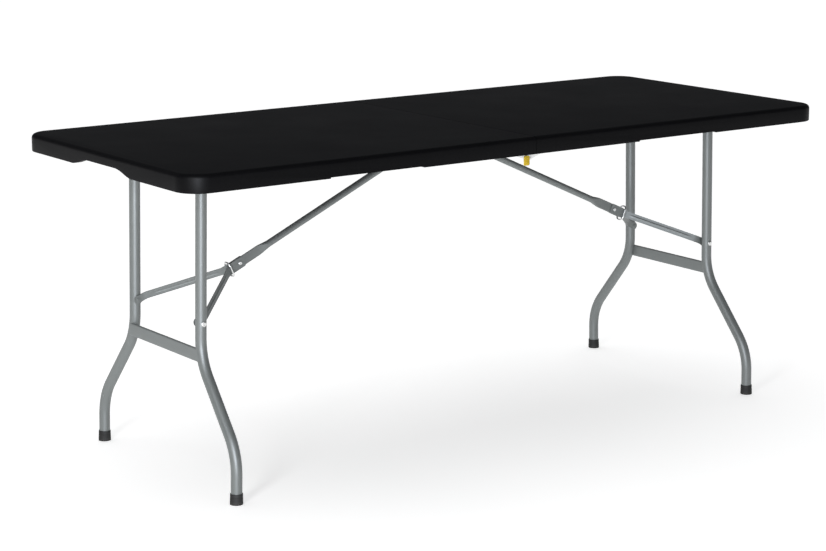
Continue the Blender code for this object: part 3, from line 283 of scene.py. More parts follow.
def shape_of(source):
    """An object's evaluated shape as a plain mesh. The object itself is used up."""
    bpy.context.view_layer.update()
    graph = bpy.context.evaluated_depsgraph_get()
    mesh = bpy.data.meshes.new_from_object(source.evaluated_get(graph))
    bpy.data.objects.remove(source)
    return mesh


def scratch(data):
    made = bpy.data.objects.new("scratch", data)
    bpy.context.scene.collection.objects.link(made)
    return made


def cleaned(mesh):
    bm = bmesh.new()
    bm.from_mesh(mesh)
    bmesh.ops.remove_doubles(bm, verts=bm.verts, dist=1e-6)
    bmesh.ops.recalc_face_normals(bm, faces=bm.faces)
    bm.to_mesh(mesh)
    bm.free()
    return mesh


def arc(centre, radius, start, end, steps=16):
    turns = [math.radians(start + (end - start) * step / steps) for step in range(steps + 1)]
    return [(centre[0] + radius * math.cos(turn), centre[1] + radius * math.sin(turn)) for turn in turns]


AXES = {
    "X": Matrix(((0, 0, 1, 0), (1, 0, 0, 0), (0, 1, 0, 0), (0, 0, 0, 1))),
    "Y": Matrix.Rotation(math.pi / 2, 4, "X"),
    "Z": Matrix(),
}


def plate(outlines, axis, start, end, edge=0.0):
    """A flat plate from an outline, and outlines of holes in it, with its edges rounded over."""
    curve = bpy.data.curves.new("plate", "CURVE")
    curve.dimensions, curve.fill_mode = "2D", "BOTH"
    curve.extrude, curve.bevel_depth = abs(end - start) / 2 - edge, edge
    curve.bevel_resolution, curve.offset = 1, -edge
    for outline in outlines:
        spline = curve.splines.new("POLY")
        spline.points.add(len(outline) - 1)
        for point, (u, v) in zip(spline.points, outline):
            point.co = (u, v, 0, 1)
        spline.use_cyclic_u = True
    mesh = cleaned(shape_of(scratch(curve)))
    middle = (start + end) / 2
    along = {"X": (middle, 0, 0), "Y": (0, middle, 0), "Z": (0, 0, middle)}[axis]
    mesh.transform(Matrix.Translation(along) @ AXES[axis])
    return mesh


def turned(profile, place, steps=36):
    """A profile of (radius, height) points, from bottom pole to top pole, turned about Z."""
    bm = bmesh.new()
    rings = []
    for radius, height in profile:
        if radius < 1e-7:
            rings.append([bm.verts.new((0, 0, height))])
            continue
        turns = [2 * math.pi * step / steps for step in range(steps)]
        rings.append([bm.verts.new((radius * math.cos(t), radius * math.sin(t), height)) for t in turns])
    for low, high in zip(rings, rings[1:]):
        for step in range(steps):
            after = (step + 1) % steps
            around = ((low, step), (low, after), (high, after), (high, step))
            corners = [ring[at % len(ring)] for ring, at in around]
            unique = list(dict.fromkeys(corners))
            if len(unique) > 2:
                bm.faces.new(unique)
    bmesh.ops.recalc_face_normals(bm, faces=bm.faces)
    mesh = bpy.data.meshes.new("turned")
    bm.to_mesh(mesh)
    bm.free()
    mesh.transform(place)
    return mesh


def across(sign, x=0.0, z=0.0):
    """Stands a turned piece across the table, its heights running out to this side."""
    return Matrix.Translation((x, 0, z)) @ Matrix.Rotation(-sign * math.pi / 2, 4, "X")


def joined(*meshes):
    bm = bmesh.new()
    for mesh in meshes:
        bm.from_mesh(mesh)
    whole = bpy.data.meshes.new("joined")
    bm.to_mesh(whole)
    bm.free()
    return whole


def loft(sections, cyclic=False):
    """A skin over rings of points, closed at both ends, or into a loop."""
    bm = bmesh.new()
    rings = [[bm.verts.new(point) for point in ring] for ring in sections]
    pairs = zip(rings, rings[1:] + rings[:1]) if cyclic else zip(rings, rings[1:])
    for ring, following in pairs:
        for index in range(len(ring)):
            after = (index + 1) % len(ring)
            bm.faces.new((ring[index], ring[after], following[after], following[index]))
    if not cyclic:
        bm.faces.new(rings[0])
        bm.faces.new(rings[-1])
    bmesh.ops.recalc_face_normals(bm, faces=bm.faces)
    mesh = bpy.data.meshes.new("loft")
    bm.to_mesh(mesh)
    bm.free()
    return mesh


def carve(mesh, *cutters, operation="DIFFERENCE"):
    """Cut other meshes out of a mesh, exactly."""
    body = scratch(mesh)
    tools = [scratch(cutter) for cutter in cutters]
    for tool in tools:
        cut = body.modifiers.new("cut", "BOOLEAN")
        cut.operation, cut.solver, cut.object = operation, "EXACT", tool
    result = shape_of(body)
    for tool in tools:
        bpy.data.objects.remove(tool)
    return cleaned(result)


def box(low, high):
    bm = bmesh.new()
    low, high = Vector(low), Vector(high)
    place = Matrix.Translation((low + high) / 2) @ Matrix.Diagonal((*[abs(side) for side in high - low], 1))
    bmesh.ops.create_cube(bm, size=1, matrix=place)
    mesh = bpy.data.meshes.new("box")
    bm.to_mesh(mesh)
    bm.free()
    return mesh


# %% [markdown]
# Tubes follow a path, and fasteners repeat in rows, so Geometry Nodes make both. One tree sweeps a
# round section along a path. The other sets a fastener on each point of a line. Each tree has named
# inputs, and its result becomes a plain mesh before anything rides on a body.


# %% Geometry Nodes trees
def new_tree(name, inputs):
    tree = bpy.data.node_groups.new(name, "GeometryNodeTree")
    tree.interface.new_socket("Geometry", in_out="INPUT", socket_type="NodeSocketGeometry")
    for label, kind in inputs:
        tree.interface.new_socket(label, in_out="INPUT", socket_type=kind)
    tree.interface.new_socket("Geometry", in_out="OUTPUT", socket_type="NodeSocketGeometry")
    return tree, tree.nodes.new("NodeGroupInput"), tree.nodes.new("NodeGroupOutput")


def wire(tree, kind, links=None, values=None, **settings):
    made = tree.nodes.new(kind)
    for key, value in settings.items():
        setattr(made, key, value)
    for key, value in (values or {}).items():
        made.inputs[key].default_value = value
    for key, source in (links or {}).items():
        tree.links.new(source, made.inputs[key])
    return made.outputs[0]


def swept_tube_tree():
    tree, given, result = new_tree("swept_tube", [
        ("Radius", "NodeSocketFloat"), ("Sides", "NodeSocketInt"), ("Finish", "NodeSocketMaterial"),
    ])
    path = wire(tree, "GeometryNodeMeshToCurve", {"Mesh": given.outputs["Geometry"]})
    section = wire(
        tree, "GeometryNodeCurvePrimitiveCircle",
        {"Resolution": given.outputs["Sides"], "Radius": given.outputs["Radius"]},
    )
    swept = wire(
        tree, "GeometryNodeCurveToMesh", {"Curve": path, "Profile Curve": section}, {"Fill Caps": True}
    )
    real = wire(tree, "GeometryNodeRealizeInstances", {"Geometry": swept})
    coated = wire(
        tree, "GeometryNodeSetMaterial", {"Geometry": real, "Material": given.outputs["Finish"]}
    )
    tree.links.new(coated, result.inputs["Geometry"])
    return tree


def fastener_row_tree():
    tree, given, result = new_tree("fastener_row", [
        ("Fastener", "NodeSocketObject"), ("Count", "NodeSocketInt"), ("First", "NodeSocketVector"),
        ("Step", "NodeSocketVector"), ("Turn", "NodeSocketVector"), ("Finish", "NodeSocketMaterial"),
    ])
    line = wire(tree, "GeometryNodeMeshLine", {
        "Count": given.outputs["Count"], "Start Location": given.outputs["First"],
        "Offset": given.outputs["Step"],
    })
    info = tree.nodes.new("GeometryNodeObjectInfo")
    tree.links.new(given.outputs["Fastener"], info.inputs["Object"])
    placed = wire(tree, "GeometryNodeInstanceOnPoints", {
        "Points": line, "Instance": info.outputs["Geometry"], "Rotation": given.outputs["Turn"],
    })
    real = wire(tree, "GeometryNodeRealizeInstances", {"Geometry": placed})
    coated = wire(
        tree, "GeometryNodeSetMaterial", {"Geometry": real, "Material": given.outputs["Finish"]}
    )
    tree.links.new(coated, result.inputs["Geometry"])
    return tree


def grown(source, tree, **inputs):
    """Run a tree on a scratch object and return the result as a plain mesh."""
    names = {item.name: item.identifier for item in tree.interface.items_tree if item.in_out == "INPUT"}
    run = source.modifiers.new("grow", "NODES")
    run.node_group = tree
    for label, value in inputs.items():
        run[names[label]] = value
    return cleaned(shape_of(source))


TUBE_TREE, ROW_TREE = swept_tube_tree(), fastener_row_tree()


def swept(points, radius, material, sides=32, cyclic=False):
    count = len(points)
    edges = [(index, (index + 1) % count) for index in range(count if cyclic else count - 1)]
    mesh = bpy.data.meshes.new("path")
    mesh.from_pydata(points, edges, [])
    return grown(scratch(mesh), TUBE_TREE, Radius=radius, Sides=sides, Finish=material)


def row(fastener, count, first, step, turn, material):
    holder, sample = scratch(bpy.data.meshes.new("row")), scratch(fastener)
    mesh = grown(
        holder, ROW_TREE, Fastener=sample, Count=count, First=Vector(first), Step=Vector(step),
        Turn=Vector(turn), Finish=material,
    )
    bpy.data.objects.remove(sample)
    return mesh


print("trees:", TUBE_TREE.name, ROW_TREE.name)

# %% [markdown]
# Each half of the top is one hollow moulding: a deep rim round a thin slab. The mould can't make a
# sharp edge, so every outer edge is rounded. The recess, the brace channel, the hand hold in the end
# and the shallow reliefs along the sides are cut with exact Booleans.


# %% Moulded top
def recess_outline(inset=0.0):
    low = (RECESS_START + inset, -RIM_INNER + inset)
    high = (RECESS_END - inset, RIM_INNER - inset)
    radius = CORNER - RIM - inset
    return (
        [low] + arc((high[0] - radius, low[1] + radius), radius, -90, 0)
        + arc((high[0] - radius, high[1] - radius), radius, 0, 90) + [(low[0], high[1])]
    )


def scallop_outline():
    flat, ramp, depth = SCALLOP
    shares = [step / 16 for step in range(17)]
    side = [(flat + ramp * s, RIM_BOTTOM + depth * (1 + math.cos(math.pi * s)) / 2) for s in shares]
    below = [(flat + ramp, RIM_BOTTOM - 0.01), (-flat - ramp, RIM_BOTTOM - 0.01)]
    return side + below + [(-y, z) for y, z in reversed(side)]


def rounded_blank():
    corner, inner = HALF_LENGTH - CORNER, FOLD_GAP / 2
    outline = (
        [(inner, -HALF_WIDTH)] + arc((corner, -HALF_WIDTH + CORNER), CORNER, -90, 0, 24)
        + arc((corner, HALF_WIDTH - CORNER), CORNER, 0, 90, 24) + [(inner, HALF_WIDTH)]
    )
    mesh = plate([outline], "Z", RIM_BOTTOM, HEIGHT)
    bm = bmesh.new()
    bm.from_mesh(mesh)
    bmesh.ops.dissolve_limit(bm, angle_limit=math.radians(1), verts=bm.verts, edges=bm.edges)

    def along(level, fold):
        return [
            edge for edge in bm.edges
            if all(abs(vert.co.z - level) < 1e-6 for vert in edge.verts)
            and all(vert.co.x < FOLD_GAP for vert in edge.verts) == fold
        ]

    for level, fold, radius, steps in (
        (HEIGHT, False, TOP_ROUND, 6), (RIM_BOTTOM, False, LOW_ROUND, 3), (HEIGHT, True, FOLD_ROUND, 3),
    ):
        bmesh.ops.bevel(
            bm, geom=along(level, fold), offset=radius, segments=steps, profile=0.5, affect="EDGES"
        )
    bm.to_mesh(mesh)
    bm.free()
    return mesh


def moulded_half(name, place):
    end, half, depth = CHANNEL
    below = RIM_BOTTOM - 0.01
    cutters = [
        plate([recess_outline()], "Z", below, SLAB_BELOW),
        box((RECESS_START, -half, below), (end, half, SLAB_BELOW + depth)),
        plate([scallop_outline()], "X", RECESS_END - 0.0003, HALF_LENGTH + 0.01),
    ]
    for sign in (-1, 1):
        inner = RAIL_IN - FOLD_RIM
        cutters.append(box(
            (-0.01, sign * inner, below), (RECESS_START + 0.0003, sign * RIM_INNER, SLAB_BELOW)
        ))
        cutters.append(box(
            (RELIEF[0], sign * (RIM_INNER - 0.0003), below),
            (RELIEF[1], sign * (HALF_WIDTH + 0.01), RIM_BOTTOM + RELIEF[2]),
        ))
    mesh = carve(rounded_blank(), *cutters)
    return piece(f"top_{name}", mesh, MOULDED, f"{name}_top", place, [f"top_panel_{name}"])


for name, place in SIDES.items():
    moulded_half(name, place)
print("top faces:", table["top_left"], table["top_right"])

# %% [markdown]
# Under each half runs a steel frame: two box-section rails screwed up into the slab, a crossbar, and
# the bracket that holds the top of the folding brace. Rolled box tube has round corners and shows its
# wall at its cut ends, so the rails are real tubes with an inside.


# %% Steel frame under the top
def rounded_rectangle(low, high, radius, steps=5):
    corners = (
        ((low[0] + radius, low[1] + radius), 180), ((high[0] - radius, low[1] + radius), 270),
        ((high[0] - radius, high[1] - radius), 0), ((low[0] + radius, high[1] - radius), 90),
    )
    return [point for centre, turn in corners for point in arc(centre, radius, turn, turn + 90, steps)]


def box_tube(start, end, low, high, radius):
    outer = rounded_rectangle(low, high, radius)
    inner = rounded_rectangle(
        (low[0] + WALL, low[1] + WALL), (high[0] - WALL, high[1] - WALL), radius - WALL * 0.8
    )
    rings = [(start, outer), (end, outer), (end, inner), (start, inner)]
    return loft([[(x, y, z) for y, z in ring] for x, ring in rings], cyclic=True)


def pan_head(radius=0.0042, height=0.0022):
    """A screw's head, domed, with a cross recess in it."""
    dome = [(radius, 0), (radius, 0.3 * height)] + [
        (radius * math.cos(math.radians(a)), height * (0.3 + 0.7 * math.sin(math.radians(a))))
        for a in range(15, 90, 15)
    ] + [(0, height)]
    head = turned([(0, 0)] + dome, Matrix(), 24)
    slots = [
        box((-long / 2, -wide / 2, 0.45 * height), (long / 2, wide / 2, 2 * height))
        for long, wide in ((radius, 0.0009), (0.0009, radius))
    ]
    return carve(head, *slots)


SCREWS_PER_RAIL, SCREW_FIRST, SCREW_STEP = 7, 0.098, 0.095


def steel_frame(name, place):
    left = name == "left"
    body = f"{name}_top"
    for sign in (-1, 1):
        end = "front" if (sign < 0) != left else "back"
        low, high = sorted((sign * RAIL_IN, sign * RAIL_OUT))
        rail = box_tube(*RAIL_ENDS, (low, RAIL_LOW), (high, RAIL_TOP), 0.0025)
        piece(f"rail_{name}_{end}", rail, COAT, body, place, [f"side_rail_{name}_{end}"])
        screws = row(
            pan_head(), SCREWS_PER_RAIL, (SCREW_FIRST, sign * (RAIL_IN + RAIL_OUT) / 2, RAIL_LOW),
            (SCREW_STEP, 0, 0), (math.pi, 0, 0.4), ZINC,
        )
        piece(f"rail_screws_{name}_{end}", screws, ZINC, body, place)
        flange = RAIL_IN - 0.0018
        bush = [
            (0.0047, flange + 0.004), (0.0047, flange), (0.0086, flange), (0.009, flange + 0.0004),
            (0.009, RAIL_IN - 0.0003), (0.006, RAIL_IN - 0.0003), (0.006, flange + 0.004),
            (0.0047, flange + 0.004),
        ]
        piece(
            f"pivot_bush_ring_{name}_{end}", turned(bush, across(sign, PIVOT.x, PIVOT.z)), NYLON, body,
            place, [f"pivot_bush_{name}_{end}"],
        )
    reach = PLATE_IN[0] - 0.0003 if left else RAIL_IN - 0.0003
    bar = [(0.0235, -reach, 0.7107), (0.0235, 0, 0.7107), (0.0235, reach, 0.7107)]
    piece(f"frame_crossbar_{name}", swept(bar, 0.006, COAT), COAT, body, place, [f"crossbar_{name}"])
    ear = arc((ANCHOR.x, ANCHOR.z), 0.009, -180, 0, 20) + [
        (ANCHOR.x + 0.011, 0.7125), (ANCHOR.x - 0.009, 0.7125)
    ]
    ears = [plate([ear], "Y", sign * 0.00205, sign * 0.00405, 0.0003) for sign in (-1, 1)]
    bridge = box((ANCHOR.x + 0.0075, -0.0021, 0.7056), (ANCHOR.x + 0.0102, 0.0021, 0.7122))
    piece(
        f"brace_clevis_{name}", joined(*ears, bridge), COAT, body, place, [f"brace_bracket_{name}"]
    )


for name, place in SIDES.items():
    steel_frame(name, place)
print("rail faces:", table["rail_left_front"], "screw row faces:", table["rail_screws_left_front"])

# %% [markdown]
# The hinge at the fold is a zinc-plated plate on each rail, with a round lobe that hangs under the
# rim, and a pin through each pair. On the left half a hook with a yellow grip swings over a stud on
# the right half and keeps the table open. The grip's ribs repeat, so they are a Geometry Nodes row.


# %% Centre hinge
def ring_outline(x, z, radius):
    return arc((x, z), radius, 360, 0, 24)[:-1]


def domed(radius, start, height, dimple=0.0):
    """A head's profile on a flat foot at a height, with a shallow dimple in the middle."""
    turns = [math.radians(a) for a in range(0, 91, 15)]
    rise = [
        (radius * (0.55 + 0.45 * math.cos(t)), start + height * (0.35 + 0.65 * math.sin(t))) for t in turns
    ]
    return [(radius, start)] + rise + [(0.25 * radius, start + height), (0, start + height - dimple)]


def hinge_plates(name, place):
    left = name == "left"
    inner, outer = PLATE_IN if left else PLATE_OUT
    top = RAIL_TOP - WALL
    for sign in (-1, 1):
        end = "front" if (sign < 0) != left else "back"
        outline = arc((0, HINGE_Z), LOBE, 150, 300, 24) + [
            (GUSSET_END, RAIL_LOW), (PLATE_END - 0.003, RAIL_LOW), (PLATE_END, RAIL_LOW + 0.003),
            (PLATE_END, top - 0.003), (PLATE_END - 0.003, top), (RAIL_ENDS[0], top),
        ]
        holes = [ring_outline(0, HINGE_Z, 0.0037)]
        mesh = plate([outline, *holes], "Y", sign * inner, sign * outer, 0.00035)
        face = sign * (inner if left else outer)
        out = -sign if left else sign
        rivets = row(
            turned([(0, 0)] + domed(0.0032, 0, 0.0009 if left else 0.0004), Matrix(), 20), 2,
            (0.034, face, 0.7085), (0.028, 0, 0), (-out * math.pi / 2, 0, 0), ZINC,
        )
        piece(
            f"hinge_{name}_{end}", joined(mesh, rivets), ZINC, f"{name}_top", place,
            [f"hinge_plate_{name}_{end}"],
        )


def hinge_pin(sign, place):
    end = "front" if sign > 0 else "back"
    foot = PLATE_IN[0] - 0.0003
    pin = [(0, foot - 0.0015), (0.0052, foot - 0.0015), (0.006, foot - 0.0009), (0.006, foot)] + [
        (0.0035, foot), (0.0035, PLATE_OUT[1] - 0.0006), (0.0029, PLATE_OUT[1]), (0, PLATE_OUT[1])
    ]
    mesh = turned(pin, across(sign, 0, HINGE_Z))
    piece(f"fold_pin_{end}", mesh, ZINC, "left_top", place, [f"hinge_pin_{end}"])


for name, place in SIDES.items():
    hinge_plates(name, place)
for sign in (-1, 1):
    hinge_pin(sign, SIDES["left"])
print("hinge faces:", table["hinge_left_front"])


# %% Centre latch
def latch(sign, place):
    end = "front" if sign > 0 else "back"
    tail, slot_z = LATCH_Z - 0.0325, LATCH_Z - 0.022
    half, mouth, throat = 0.005, 0.0036, LATCH_X + 0.0028
    lever = arc((LATCH_X, LATCH_Z), half, 0, 180, 20) + [
        (LATCH_X - half, slot_z + mouth), (throat - 0.002, slot_z + mouth), (throat, slot_z + mouth - 0.002),
        (throat, slot_z - mouth + 0.002), (throat - 0.002, slot_z - mouth), (LATCH_X - half, slot_z - mouth),
        (LATCH_X - half, tail), (LATCH_X + half, tail),
    ]
    mesh = plate([lever], "Y", sign * LATCH_Y[0], sign * LATCH_Y[1], 0.0003)
    piece(f"latch_hook_{end}", mesh, ZINC, f"latch_{end}", place, [f"latch_lever_{end}"])
    inner = LATCH_Y[1] + 0.0003
    outline = rounded_rectangle((LATCH_X - 0.0075, tail), (LATCH_X + 0.0075, LATCH_Z - 0.0105), 0.003)
    body = plate([outline], "Y", sign * inner, sign * (inner + 0.0042), 0.0009)
    rib = turned([(0, -0.0052), (0.0006, -0.0048), (0.0008, 0.0048), (0, 0.0052)], Matrix(), 10)
    ribs = row(
        rib, 4, (LATCH_X, sign * (inner + 0.0042), tail + 0.0052), (0, 0, 0.0038),
        (0, math.pi / 2, 0), YELLOW,
    )
    piece(f"latch_tab_{end}", joined(body, ribs), YELLOW, f"latch_{end}", place, [f"latch_grip_{end}"])
    spacer, head = RAIL_OUT + 0.0003, LATCH_Y[1] + 0.0003
    rivet = [
        (0, 0.3405), (0.004, 0.3405), (0.004, 0.3415), (0.002, 0.3415), (0.002, spacer), (0.004, spacer),
        (0.004, LATCH_Y[0] - 0.0003), (0.002, LATCH_Y[0] - 0.0003), (0.002, head),
    ] + domed(0.004, head, 0.001)
    piece(
        f"latch_pin_{end}", turned(rivet, across(sign, LATCH_X, LATCH_Z)), ZINC, "left_top", place,
        [f"latch_rivet_{end}"],
    )


def stud(sign, place):
    end = "front" if sign < 0 else "back"
    foot = PLATE_OUT[1] + 0.0003
    profile = [
        (0, 0.3418), (0.0015, 0.3418), (0.0015, foot), (0.0025, foot), (0.0025, LATCH_Y[1] - 0.0005),
        (0.0020, LATCH_Y[1]), (0, LATCH_Y[1]),
    ]
    piece(
        f"hook_stud_{end}", turned(profile, across(sign, STUD_X, LATCH_Z)), ZINC, "right_top", place,
        [f"lock_stud_{end}"],
    )


for sign in (-1, 1):
    latch(sign, SIDES["left"])
    stud(sign, SIDES["right"])
print("latch faces:", table["latch_tab_front"])

# %% [markdown]
# A leg frame is two bent tubes on a pivot tube, with a flattened tube across them. Each leg drops
# straight, sweeps outward through a wide bend, and straightens again above its foot. The path is
# drawn as straight runs and true arcs, and the swept-tube tree gives it its round section.


# %% Leg frames
def leg_path(sign, past=0.0, steps=20):
    shares = [step / steps for step in range(steps + 1)]
    path = [(0, LEG_TOP_Y, past), (0, LEG_TOP_Y, -BEND_START / 2)]
    for turn in [BEND * share for share in shares]:
        y = LEG_TOP_Y + BEND_RADIUS * (1 - math.cos(turn))
        path.append((0, y, -BEND_START - BEND_RADIUS * math.sin(turn)))
    for turn in [BEND * (1 - share) for share in shares]:
        y = FOOT_Y - BEND_RADIUS * (1 - math.cos(turn))
        path.append((0, y, -BEND_END + BEND_RADIUS * math.sin(turn)))
    path.append((0, FOOT_Y, -LEG_DROP + 0.0045))
    return [(x, sign * y, z) for x, y, z in path]


def flat_oval(half_height, half_thickness, steps=16):
    """Points of a flat oval in (across, up), each side a half circle."""
    straight = half_height - half_thickness
    top = arc((0, straight), half_thickness, 0, 180, steps)
    return top + arc((0, -straight), half_thickness, 180, 360, steps)


def leg_frame(name, place):
    left = name == "left"
    body, legs = f"{name}_legs", place @ LEGS
    for sign in (-1, 1):
        end = "front" if (sign < 0) != left else "back"
        tube = swept(leg_path(sign), LEG_RADIUS, COAT, 40)
        piece(f"leg_tube_{name}_{end}", tube, COAT, body, legs, [f"leg_{name}_{end}"])
        inner, outer = LEG_TOP_Y - LEG_RADIUS + 0.0003, LEG_TOP_Y + LEG_RADIUS - 0.0002
        rivet = [(0, inner), (0.003, inner), (0.003, outer)] + domed(0.006, outer, 0.0024, 0.0006)
        piece(
            f"leg_pin_{name}_{end}", turned(rivet, across(sign, 0, -ARM_DROP)), ZINC, body, legs,
            [f"leg_rivet_{name}_{end}"],
        )
    shoulder = RAIL_IN - 0.0021
    half = [
        (0.0125, shoulder - 0.0135), (0.0118, shoulder - 0.0095), (0.0095, shoulder - 0.0045),
        (0.0072, shoulder - 0.0012), (0.0066, shoulder), (0.0045, shoulder), (0.0045, RAIL_IN + 0.0120),
        (0.0040, RAIL_IN + 0.0126), (0, RAIL_IN + 0.0126),
    ]
    profile = [(radius, -height) for radius, height in reversed(half)] + half
    piece(
        f"pivot_tube_{name}", turned(profile, across(1), 40), COAT, body, legs,
        [f"leg_pivot_tube_{name}"],
    )
    x = LEG_RADIUS - CROSSBRACE[1]
    drop = BEND_RADIUS * (1 - math.sqrt(1 - (0.037 / BEND_RADIUS) ** 2))
    oval = [(x + u, v - CROSSBRACE_DROP) for u, v in flat_oval(*CROSSBRACE)]
    reach = LEG_TOP_Y + drop
    bar = loft([[(u, y, v) for u, v in oval] for y in (-reach, 0, reach)])
    piece(f"crossbrace_{name}", bar, COAT, body, legs, [f"leg_crossbrace_{name}"])


for name, place in SIDES.items():
    leg_frame(name, place)
print("leg faces:", table["leg_tube_left_front"])

# %% [markdown]
# A moulded rubber cap closes each leg. It is a turned shape with a soft lip at the top, two shallow
# grooves and a rounded sole, set on the leaning leg and then cut level with the floor.


# %% Foot caps
def foot_cap(name, place, sign, end):
    top, low = -LEG_DROP + 0.024, -LEG_DROP - 0.004
    wall = [
        (0.0128, top - 0.004), (0.0128, top - 0.0005), (0.0132, top), (0.0137, top - 0.0003),
        (0.0140, top - 0.0012), (0.01415, top - 0.0070), (0.0137, top - 0.0076), (0.0137, top - 0.0086),
        (0.0142, top - 0.0092), (0.0143, top - 0.0150), (0.0145, top - 0.0190), (0.0145, low), (0, low),
    ]
    profile = [(0, top - 0.004)] + wall
    cap_place = LEGS @ Matrix.Translation((0, sign * FOOT_Y, 0))
    mesh = turned(profile, cap_place, 40)
    centre = cap_place @ Vector((0, 0, -LEG_DROP))
    floor = box((centre.x - 0.03, centre.y - 0.03, -0.02), (centre.x + 0.03, centre.y + 0.03, 0))
    piece(
        f"rubber_foot_{name}_{end}", carve(mesh, floor), RUBBER, f"{name}_legs", place,
        [f"foot_cap_{name}_{end}"],
    )


for name, place in SIDES.items():
    for sign in (-1, 1):
        foot_cap(name, place, sign, "front" if (sign < 0) != (name == "left") else "back")
print("foot faces:", table["rubber_foot_left_front"])

# %% [markdown]
# The brace's upper link is a round tube whose ends are pressed flat. Pressing a tube keeps its
# girth, so it grows taller as it gets thinner. The loft takes its height and thickness from one
# smooth share, and the end of each flat is rounded like the real blanked tail.

# %% Brace tubes
TOP_FLAT, TAPER, KNEE_FLAT, TAIL, TOP_END = 0.018, 0.030, 0.055, 0.034, 0.010


def eased(share):
    return share * share * (3 - 2 * share)


def brace_sections():
    turns = [math.radians(angle) for angle in range(80, -1, -10)]
    knee = BRACE_LENGTH - KNEE_FLAT - TAPER
    tail = BRACE_LENGTH + TAIL - FLAT_HALF
    sections = [(-TOP_END * math.sin(t), max(TOP_END * math.cos(t), FLAT), FLAT) for t in turns]
    for share in (0.25, 0.5, 0.75, 1.0):
        sections.append((TOP_FLAT * share, TOP_END + (FLAT_HALF - TOP_END) * eased(share), FLAT))
    for start, opening in ((TOP_FLAT, True), (knee, False)):
        for step in range(1 if opening else 0, 13):
            share = (step / 12 + eased(step / 12)) / 2
            roundness = share if opening else 1 - share
            sections.append((
                start + TAPER * step / 12, FLAT_HALF + (TUBE - FLAT_HALF) * roundness,
                FLAT + (TUBE - FLAT) * roundness,
            ))
    for t in reversed(turns):
        sections.append((tail + FLAT_HALF * math.sin(t), max(FLAT_HALF * math.cos(t), FLAT), FLAT))
    return sections


def brace_tube(name, place):
    rings = []
    for x, half_height, half_thickness in brace_sections():
        rings.append([(x, u, v) for u, v in flat_oval(half_height, half_thickness)])
    piece(
        f"brace_link_{name}", loft(rings), COAT, f"{name}_brace", place @ BRACE, [f"brace_tube_{name}"]
    )


for name, place in SIDES.items():
    brace_tube(name, place)
print("brace faces:", table["brace_link_left"])

# %% [markdown]
# The lower link is a pair of pressed strips. They run side by side through the lock ring, spread
# out to the legs, and bend again to lie flat against them. A rib pressed along each strip stiffens
# it. The strip is a grid of points over a bent middle line, so that the rib can be lifted from it.

# %% Brace arms
ARM_HALF, ARM_KNEE_HALF, ARM_END_HALF, ARM_THICK = 0.0085, 0.0125, 0.010, 0.002
ARM_KNEE_Y, ARM_LEG_Y = 0.00305, LEG_TOP_Y - LEG_RADIUS - 0.0015
RIB_HALF, RIB_LIFT, ARM_ROWS, KNEE_CORNER = 0.0030, 0.0011, 24, 0.005


def arm_half_height(x):
    if x < 0:
        corner = max(-x - ARM_KNEE_HALF + KNEE_CORNER, 0)
        return ARM_KNEE_HALF - KNEE_CORNER + math.sqrt(max(KNEE_CORNER**2 - corner * corner, 1e-8))
    share = eased(min(max((x - 0.024) / 0.021, 0), 1))
    half = ARM_KNEE_HALF + (ARM_HALF - ARM_KNEE_HALF) * share
    past = abs(x - ARM_LENGTH)
    if past < ARM_END_HALF:
        rounded = math.sqrt(max(ARM_END_HALF**2 - past * past, 1e-8))
        half = rounded if x > ARM_LENGTH else max(half, rounded)
    return half


def arm_side(x):
    """How far out the middle line is at x, and its slope, with both bends eased over a short arc."""
    start, end, ease = 0.030, ARM_LENGTH - 0.020, 0.007
    slope = (ARM_LEG_Y - ARM_KNEE_Y) / (end - start)

    def ramp(u):
        if u < -ease:
            return 0.0
        return u if u > ease else (u + ease) ** 2 / (4 * ease)

    return ARM_KNEE_Y + slope * (ramp(x - start) - ramp(x - end))


def arm_mesh(sign):
    xs = [KNEE_CORNER * (1 - math.cos(math.radians(a))) - ARM_KNEE_HALF for a in range(2, 91, 11)]
    xs += [-0.0075 + 0.0025 * step for step in range(1, 4)]
    xs += [0.004 * step for step in range(1, 49)]
    xs += [ARM_LENGTH - 0.0095 + 0.00095 * step for step in range(11)]
    xs += [ARM_LENGTH + ARM_END_HALF * math.sin(math.radians(a)) for a in range(8, 87, 7)]
    xs.sort()
    rings = []
    for x in xs:
        half = arm_half_height(x)
        slope = (arm_side(x + 1e-4) - arm_side(x - 1e-4)) / 2e-4
        out = Vector((-slope, 1)).normalized()
        length = eased(min(max((x - 0.045) / 0.012, 0), 1)) * eased(
            min(max((ARM_LENGTH - 0.034 - x) / 0.012, 0), 1)
        )
        face, back = [], []
        for index in range(ARM_ROWS + 1):
            z = half * (2 * index / ARM_ROWS - 1)
            rib = RIB_LIFT * length * eased(min(max(1 - abs(z) / RIB_HALF, 0), 1))
            for side, points in ((0.5, face), (-0.5, back)):
                lift = rib + side * ARM_THICK
                points.append((x + out.x * lift, sign * (arm_side(x) + out.y * lift), z))
        rings.append(face + back[::-1])
    return loft(rings)


def arm_pair(name, place):
    left = name == "left"
    for sign in (-1, 1):
        end = "front" if (sign < 0) != left else "back"
        inner = ARM_LEG_Y - ARM_THICK / 2
        boss = turned(
            [(0, inner + 0.0005), (0.005, inner + 0.0005), (0.005, inner)]
            + [(0.0046, inner - 0.0008), (0.0030, inner - 0.0014), (0, inner - 0.0015)],
            across(sign, ARM_LENGTH, 0),
        )
        piece(
            f"arm_{name}_{end}", joined(arm_mesh(sign), boss), COAT, f"{name}_arms", place @ KNEE,
            [f"brace_arm_{name}_{end}"],
        )


def through_rivet(grip):
    head = domed(0.0042, grip, 0.0012, 0.0005)
    return turned([(r, -h) for r, h in reversed(head)] + [(0.003, -grip), (0.003, grip)] + head, across(1))


